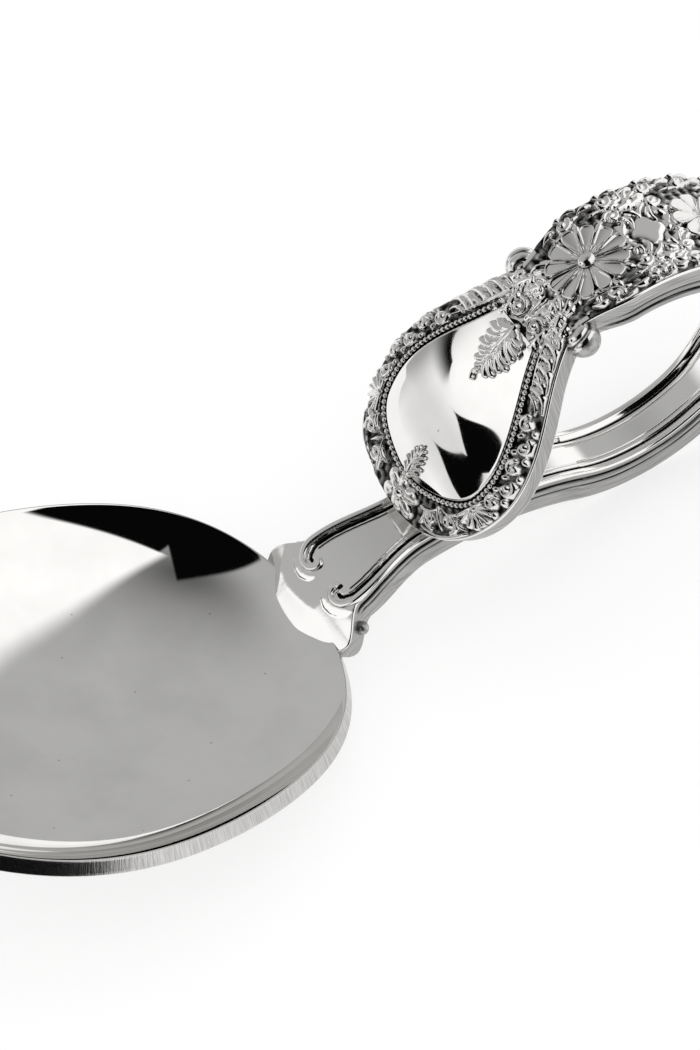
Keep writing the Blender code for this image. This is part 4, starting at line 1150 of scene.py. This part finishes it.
def border_lines(start, stop):
    """Inner and outer line of the left border as (s, y), between two distances up from the tip."""
    outer = shield_outline(lambda d: np.full_like(d, BORDER_EDGE))
    inner = shield_outline(lambda d: bead_inset(d) - BEAD_ROOM)
    from_tip = S_TIP - outer[:, 0]
    kept = (from_tip < start) & (from_tip > stop)
    return inner[kept], outer[kept]


# Ornaments of the shield's face

# Places are along and across a border, from its start and its middle line, or along and across from a boss's
# own middle. A stem, rib or sprig is its start, end, bend, width and height.
BORDER_STEM = ((0.0, -0.45), (5.1, -0.2), -0.03, 0.2, 0.4)
BORDER_LOBES = ((0.0, 1.1, 0.55), (0.7, 1.5, 0.62), (1.5, 1.0, 0.5), (2.1, 1.5, 0.62), (3.0, 1.0, 0.5),
                (3.5, 1.4, 0.6))  # foot, length, how far across the tip lies
BORDER_SCROLLS = (5.75, 7.25, 8.75, 10.2, 11.6, 12.9)
SHELL_SPRIGS = (((0.2, -0.6), (0.8, -0.62), 0.1, 0.2, 0.42), ((2.4, -0.6), (1.7, -0.62), -0.1, 0.2, 0.42))
SCROLL_SPRIGS = (
    ((0.2, 0.75), (3.7, 0.75), 0.06, 0.2, 0.46), ((1.95, -0.9), (1.95, 0.6), 0, 0.2, 0.5),
    ((0.15, -0.55), (1.8, -0.85), 0.14, 0.2, 0.44), ((3.75, -0.55), (2.1, -0.85), -0.14, 0.2, 0.44),
    ((0.1, 0.5), (0.35, -0.4), 0.2, 0.22, 0.46), ((3.7, 0.5), (3.5, -0.4), -0.2, 0.22, 0.46))
TOE_LEAF_RIB = ((1.1, 0), (-1.15, 0), 0, 0.26, 0.42)
TOE_LEAF_TIPS = ((0.75, 0.62), (0.3, 0.72), (-0.15, 0.55), (-0.55, 0.5), (-0.85, 0.25))
WAIST_LEAF_RIB = ((-2.1, 0), (1.5, 0), 0, 0.36, 0.5)
WAIST_LEAF_LOBES = (
    (-1.9, ((-1.7, 1.35), (-1.2, 1.6), (-0.7, 1.3))), (-1.0, ((-0.4, 1.15), (0.0, 1.35), (0.4, 1.0))),
    (-0.1, ((0.5, 0.75), (0.95, 0.85), (1.3, 0.45))))  # root along the rib, tips of its three fingers


def border_strokes():
    """One side of the leaf border from the waist: a long lobed leaf, then scrolls that turn to and fro, each
    with a few leaf fingers."""
    strokes = sprigs([BORDER_STEM])
    for foot, length, rise in BORDER_LOBES:
        strokes.append(drawn(bowed((foot, -0.4), (foot + length, rise), 0.25), 0.34, 0.46, tip=0.3))
        strokes.append(drawn(bowed((foot + 0.4, -0.5), (foot + 0.2 + length, 0.1), 0.2), 0.2, 0.42, tip=0.3))
    for k, middle in enumerate(BORDER_SCROLLS):
        scroll = [curl((middle, -0.08), radius=0.55, start=200, turns=0.95, width=0.25, height=0.56)]
        scroll += plume((middle, -0.2), inner=0.72, outer=1.2, start=60, stop=-10, lean=-15, count=2,
                        width=0.25, height=0.46)
        scroll += sprigs([((middle - 0.4, -0.65), (middle + 0.8, -0.45), 0.12, 0.2, 0.44)])
        flip = np.array([1, 1 - 2 * (k % 2), 1, 1])
        strokes += [stroke * flip for stroke in scroll]
    return strokes


def make_leaf_borders():
    """The leaf strips down both sides of the shield, from the waist to the toe shells."""
    lines = border_lines(S_TIP - S_WAIST - BORDER_STARTS, BORDER_ENDS)
    for side, sign in SIDES:
        strip(side + "_leaf_border", *lines, border_strokes(), sign)


def make_toe_borders():
    """Round the toe, on each side: a ribbed shell and a scroll with two eyes."""
    shell = fan((1.25, -0.7), aim=90, spread=80, length=1.35, count=9, width=0.2, height=0.5)
    shell.append(curl((1.1, -0.55), radius=0.36, start=0, turns=1.2, width=0.18, height=0.6))
    shell += sprigs(SHELL_SPRIGS)
    scroll = [curl((1.15, 0.05), radius=0.62, start=90, turns=1.2, width=0.24, height=0.56),
              curl((2.75, 0.0), radius=0.58, start=90, turns=-1.2, width=0.23, height=0.54)]
    scroll += sprigs(SCROLL_SPRIGS)
    for side, sign in SIDES:
        strip(side + "_toe_shell", *border_lines(SHELL_STARTS, SHELL_ENDS), shell, sign)
        strip(side + "_toe_scroll", *border_lines(SCROLL_STARTS, SCROLL_ENDS), scroll, sign)


def make_toe_flower():
    """A flower at the tip between the scrolls: six broad petals, each with a rib, round a domed heart."""
    radius = (TOE_BORDER - BEAD_ROOM - PLAIN_RIM) / 2 + TOE_FLOWER_OVER
    reach = oval(radius + TOE_FLOWER_EDGE, TOE_FLOWER_HALF)
    petals = [dot(radius=0.42, height=0.8)]
    for turn in np.radians(np.arange(0, 360, 60)):
        tip = oval(radius, TOE_PETAL_HALF)(turn) * spoke(turn) * TOE_PETAL_SHARE
        petals.append(drawn(bowed(0.5 * tip, tip, 0.05), width=0.64, height=0.46, tip=1.0))
        petals.append(drawn(bowed(0.3 * tip, 0.9 * tip, -0.1), width=0.14, height=0.56, tip=0.5))
    boss("toe_flower", S_TIP - PLAIN_RIM - radius + TOE_FLOWER_DOWN, reach,
         stroke_top(reach, petals, 0.55), -FILM, steps=(40, 160))


def make_toe_leaf():
    """A leaf that rises from the toe over the foot of the panel: a rib with five fingers a side."""
    reach = oval(TOE_LEAF_LENGTH / 2 + 0.2, TOE_LEAF_HALF + 0.25)
    leaf = sprigs([TOE_LEAF_RIB])
    for tip_s, tip_y in TOE_LEAF_TIPS:
        finger = bowed((tip_s + 0.6, 0.05), (tip_s, tip_y), 0.12)
        leaf += [drawn(finger * [1, side], width=0.24, height=0.38, tip=0.6) for side in (1, -1)]
    foot = S_TIP - TOE_BORDER - BEAD_ROOM - TOE_LEAF_UP
    boss("toe_leaf", foot - TOE_LEAF_LENGTH / 2, reach, stroke_top(reach, leaf, 0.25), PANEL_THICK - FILM)


def make_waist_leaf():
    """A broad leaf of three lobes a side that hangs over the top of the panel, its tip turned aside."""
    reach = oval(WAIST_LEAF_LENGTH / 2 + 0.4, WAIST_LEAF_HALF + 0.45)
    lobes = sprigs([WAIST_LEAF_RIB])
    for root, tips in WAIST_LEAF_LOBES:
        for tip in tips:
            finger = bowed((root, 0.1), tip, -0.18)
            lobes += [drawn(finger * [1, side], width=0.42, height=0.47, tip=0.6) for side in (1, -1)]
    lobes.append(drawn(bowed((1.3, 0.0), (2.1, 0.15), 0.3), width=0.2, height=0.45, tip=0.9))
    boss("waist_leaf", S_PANEL + WAIST_PIECES_GAP + WAIST_LEAF_LENGTH / 2, reach,
         stroke_top(reach, lobes, 0.25), PANEL_THICK - FILM, steps=(56, 240))


def make_volutes():
    """A pair of volutes above the waist leaf: a spiral round a domed eye."""
    reach = disc(VOLUTE_RADIUS + VOLUTE_EDGE)
    spiral = [curl((0, 0), radius=0.62, start=150, turns=1.3, width=0.2, height=0.5),
              dot(radius=0.3, height=0.66)]
    for side, sign in SIDES:
        boss(side + "_volute", S_PANEL - WAIST_PIECES_GAP - VOLUTE_RADIUS, reach,
             stroke_top(reach, spiral, 0.5), -FILM, y=VOLUTE_RADIUS + VOLUTE_EDGE, mirror=sign)


# Broad top of the loop

def scroll_strokes():
    """One edge of the band, from the small flower's side: scrolls on one running stem, each with leaf fingers
    that curl over the next."""
    strokes = []
    for middle in np.arange(SCROLL_FIRST, SCROLLS_LENGTH, SCROLL_PITCH):
        strokes.append(curl((middle, -0.05), radius=0.5, start=160, turns=0.95, width=0.24, height=0.5))
        strokes += plume((middle, -0.3), inner=0.75, outer=1.5, start=90, stop=-20, lean=-20, count=3,
                         width=0.27, height=0.44)
        strokes += sprigs([((middle - 1.1, 0.4), (middle - 0.2, 0.52), 0.12, 0.2, 0.42),
                           ((middle - 1.0, -0.1), (middle - 0.5, -0.42), 0.2, 0.2, 0.4),
                           ((middle + 0.2, -0.58), (middle + 1.5, -0.5), 0.05, 0.16, 0.36)])
    return strokes


def make_band_scrolls():
    """Scrolled strips along both edges of the band."""
    s = np.linspace(ring_station(SCROLLS_FROM), ring_station(SCROLLS_TO), PATH_POINTS)
    outer = np.stack([s, half_width(s) - BORDER_EDGE], axis=-1)
    inner = np.stack([s, half_width(s) - PLAIN_RIM - SCROLL_WIDTH], axis=-1)
    for side, sign in SIDES:
        strip(side + "_band_scroll", inner, outer, scroll_strokes(), sign)


def make_rosette():
    """A flower of twelve petals, and the round boss on it."""
    def boss_top(turn, share):
        even = np.ones(turn.shape)
        return BOSS_RISE * arched(share) * even, BOSS_DULL * share**6 * even

    at = ring_station(ROSETTE_AT)
    radius = BAND_HALF - PLAIN_RIM - SCROLL_WIDTH - ROSETTE_GAP
    boss("rosette", at, petal_outline(12, radius, notch=0.34), petal_top(12, radius), FILM, steps=(48, 480))
    boss("rosette_boss", at, disc(BOSS_RADIUS), boss_top, ROSETTE_HEIGHT - BOSS_SUNK)


def make_lozenge():
    """A plain low lozenge with hollow sides, dark round its foot."""
    def outline(turn):
        return oval(*LOZENGE_HALF)(turn) * (1 - LOZENGE_WAIST * (1 - np.cos(4 * turn)))

    def top(turn, share):
        even = np.ones(turn.shape)
        return LOZENGE_RISE * arched(share, 4) * even, np.clip(share * 6 - 5, 0, 1) * even

    boss("band_lozenge", ring_station(LOZENGE_AT), outline, top, FILM, finish=POLISHED)


def make_small_flower():
    """A flower of eight petals."""
    boss("small_flower", ring_station(SMALL_FLOWER_AT), petal_outline(8, SMALL_FLOWER_RADIUS, notch=0.35),
         petal_top(8, SMALL_FLOWER_RADIUS), FILM, steps=(40, 320))


def ball_beside(s, radius):
    """Distance across at which a ball beside the strap's edge just meets it."""
    near = s + radius * np.linspace(-1, 1, PATH_POINTS)
    return (half_width(near) + np.sqrt(np.clip(radius**2 - (near - s)**2, 0, None))).max()


def make_balls():
    """Knops in the notches of the waist, smooth outside and rolled into a scroll on the side of the shield's
    face, and the shoulder's ears."""
    turn = np.linspace(0, 2 * math.pi, BALL_TURNS, endpoint=False)[None]
    dip = np.linspace(BALL_LEFT, math.pi - BALL_LEFT, BALL_ROWS)[:, None]
    a, b, h = np.sin(dip) * np.cos(turn), np.cos(dip) * np.ones(turn.shape), np.sin(dip) * np.sin(turn)
    off_axis = np.arccos(np.clip(SCROLL_AXIS[0] * a + SCROLL_AXIS[1] * b + SCROLL_AXIS[2] * h, -1, 1))
    in_scroll = off_axis < SCROLL_SPREAD
    roll = np.where(in_scroll, np.abs(np.cos(2 * math.pi * off_axis / SCROLL_SPREAD)), 1)
    # outside the scroll the knops and ears get painted shade, a darker tone in place of a darker reflection;
    # in the scroll, tarnish in its line
    tarnish_and_painted_shade = np.where(in_scroll, np.clip(1 - 2.5 * roll, 0, 1), KNOP_PAINTED_SHADE)
    for side, sign in SIDES:
        for name, s, radius, sunk, behind in (("_waist_knop", S_WAIST, KNOP_RADIUS, KNOP_SUNK, 0.0),
                                              ("_shoulder_ear", EAR_AT, EAR_RADIUS, EAR_SUNK, EAR_BEHIND)):
            y = ball_beside(s, radius) - sunk
            swell = radius * (1 - KNOP_CUT * (1 - roll)**2)
            ball = on_strap(s + swell * a, sign * (y + swell * b), behind + swell * h)
            skin(side + name, ball, STRUCK, tarnish_and_painted_shade)


make_bowl()
make_strap()
make_threads()
make_panel()
make_bead_row()
make_leaf_borders()
make_toe_borders()
make_toe_flower()
make_toe_leaf()
make_waist_leaf()
make_volutes()
make_band_scrolls()
make_rosette()
make_lozenge()
make_small_flower()
make_balls()


# Studio

def stage_piece(name, points, faces, material):
    """A mesh of the studio, which is no part of the spoon."""
    mesh = bpy.data.meshes.new(name)
    mesh.from_pydata(points, [], faces)
    mesh.materials.append(material)
    piece = bpy.data.objects.new(name, mesh)
    bpy.context.scene.collection.objects.link(piece)
    return piece


def matt_paper():
    """White matt paper: to the camera and in reflections it glows up to white and keeps the spoon's shadow,
    and to all other light it is plain paper."""
    material, tree = new_tree("white_matt_paper")
    ray = add(tree, "LightPath").outputs
    direct = worked(tree, "ADD", ray["Is Camera Ray"], ray["Is Glossy Ray"])
    seen = worked(tree, "ADD", direct, ray["Is Transmission Ray"])
    paper = add(tree, "BsdfDiffuse", {"Color": linear("#A8A8A8")})
    lit = add(tree, "AddShader", {0: paper, 1: add(tree, "Emission", {"Strength": 0.64})})
    matt = add(tree, "BsdfDiffuse", {"Color": linear("#F2F2F2")})
    add(tree, "OutputMaterial", {"Surface": add(tree, "MixShader", {0: seen, 1: matt, 2: lit})})
    return material


def make_floor():
    """A square of paper just under the spoon."""
    half = FLOOR_SIZE / 2
    corners = [(-half, -half, -FLOOR_DROP), (half, -half, -FLOOR_DROP), (half, half, -FLOOR_DROP),
               (-half, half, -FLOOR_DROP)]
    stage_piece("floor", corners, [(0, 1, 2, 3)], matt_paper())


def cloth_mask(tree, toward, edges):
    """Mask of one piece of cloth: 1 in the directions that lie past all its edges. An edge is a plane through
    the middle of the tent, given by its normal and the two heights over it between which the mask rises."""
    mask = 1.0
    for normal, start, stop in edges:
        over = add(tree, "VectorMath", {0: toward, 1: normal}, operation="DOT_PRODUCT").outputs["Value"]
        mask = worked(tree, "MULTIPLY", mask, mapped(tree, over, start, stop, shape="SMOOTHSTEP"))
    return mask


def tent_cloth():
    """Lit studio cloth: white to the right of the camera and far left, black round the camera, and grey that
    deepens towards the top. For the handle's rays, which are longer, the left cloth has a soft edge, a low
    fold that dims it, and three black gaps."""
    material, tree = new_tree("lit_tent_cloth")
    place = add(tree, "TexCoord").outputs["Object"]
    toward = add(tree, "VectorMath", {0: place}, operation="NORMALIZE")
    flat = add(tree, "VectorMath", {0: toward, 1: (1, 1, 0)}, operation="MULTIPLY")
    apart = add(tree, "VectorMath", {0: flat, 1: TENT_GREY}, operation="DISTANCE").outputs["Value"]
    grey = mapped(tree, apart, -0.05, 0.65, 0.09, 0.47, shape="SMOOTHSTEP")
    reach = add(tree, "LightPath").outputs["Ray Length"]
    from_handle = worked(tree, "GREATER_THAN", reach, HANDLE_FROM)
    right = cloth_mask(tree, toward, RIGHT_CLOTH)
    crisp = cloth_mask(tree, toward, LEFT_CLOTH)
    soft = cloth_mask(tree, toward, LEFT_CLOTH_SOFT)
    white = worked(tree, "MAXIMUM", right, blended(tree, from_handle, crisp, soft))
    shade = blended(tree, white, grey, TENT_WHITE)
    blacks = [(LOW_FOLD, worked(tree, "MULTIPLY", from_handle, FOLD_DARK))]
    blacks += [(edges, 1.0) for edges in CAMERA_BLACKS]
    blacks += [(edges, from_handle) for edges in HANDLE_GAPS]
    for edges, share in blacks:
        black = worked(tree, "MULTIPLY", cloth_mask(tree, toward, edges), share)
        shade = blended(tree, black, shade, TENT_BLACK)
    add(tree, "OutputMaterial", {"Surface": add(tree, "Emission", {"Strength": shade})})
    return material


def make_tent():
    """A dome of cloth round the spoon that only reflections see."""
    lift = np.linspace(TENT_FOOT, math.pi / 2, TENT_ROWS)[:, None]
    turn = np.linspace(0, 2 * math.pi, TENT_TURNS)[None]
    points = TENT_RADIUS * joined(np.cos(lift) * np.cos(turn), np.cos(lift) * np.sin(turn), np.sin(lift))
    index = np.arange(points[..., 0].size).reshape(points.shape[:2])
    faces = np.stack([index[:-1, :-1], index[1:, :-1], index[1:, 1:], index[:-1, 1:]], axis=-1).reshape(-1, 4)
    tent = stage_piece("light_tent", points.reshape(-1, 3).tolist(), faces.tolist(), tent_cloth())
    tent.visible_camera = False
    tent.visible_diffuse = False
    tent.visible_shadow = False


def make_world():
    """Even white light from everywhere."""
    world = bpy.data.worlds.new("white_room")
    world.use_nodes = True
    world.node_tree.nodes.clear()
    light = add(world.node_tree, "Background", {"Color": (1, 1, 1, 1), "Strength": 1.0})
    add(world.node_tree, "OutputWorld", {"Surface": light})
    bpy.context.scene.world = world
    bpy.context.scene.view_settings.view_transform = "Standard"


def make_camera():
    """A long lens far off, so that the spoon is seen almost without perspective."""
    view = Vector(VIEW_BACK).normalized()
    right = Vector(VIEW_RIGHT)
    right = (right - right.dot(view) * view).normalized()
    up = view.cross(right)
    target = MM * (Vector((TABLE_X, 0, TABLE_Z)) + VIEW_ACROSS * right + VIEW_UP * up)
    data = bpy.data.cameras.new("camera")
    data.lens = SENSOR * VIEW_DISTANCE / (FRAME_HEIGHT * MM)
    data.clip_end = 10 * VIEW_DISTANCE
    camera = bpy.data.objects.new("camera", data)
    turned = Matrix((right, up, view)).transposed().to_4x4()
    camera.matrix_world = Matrix.Translation(target + VIEW_DISTANCE * view) @ turned
    bpy.context.scene.collection.objects.link(camera)
    bpy.context.scene.camera = camera


make_floor()
make_tent()
make_world()
make_camera()
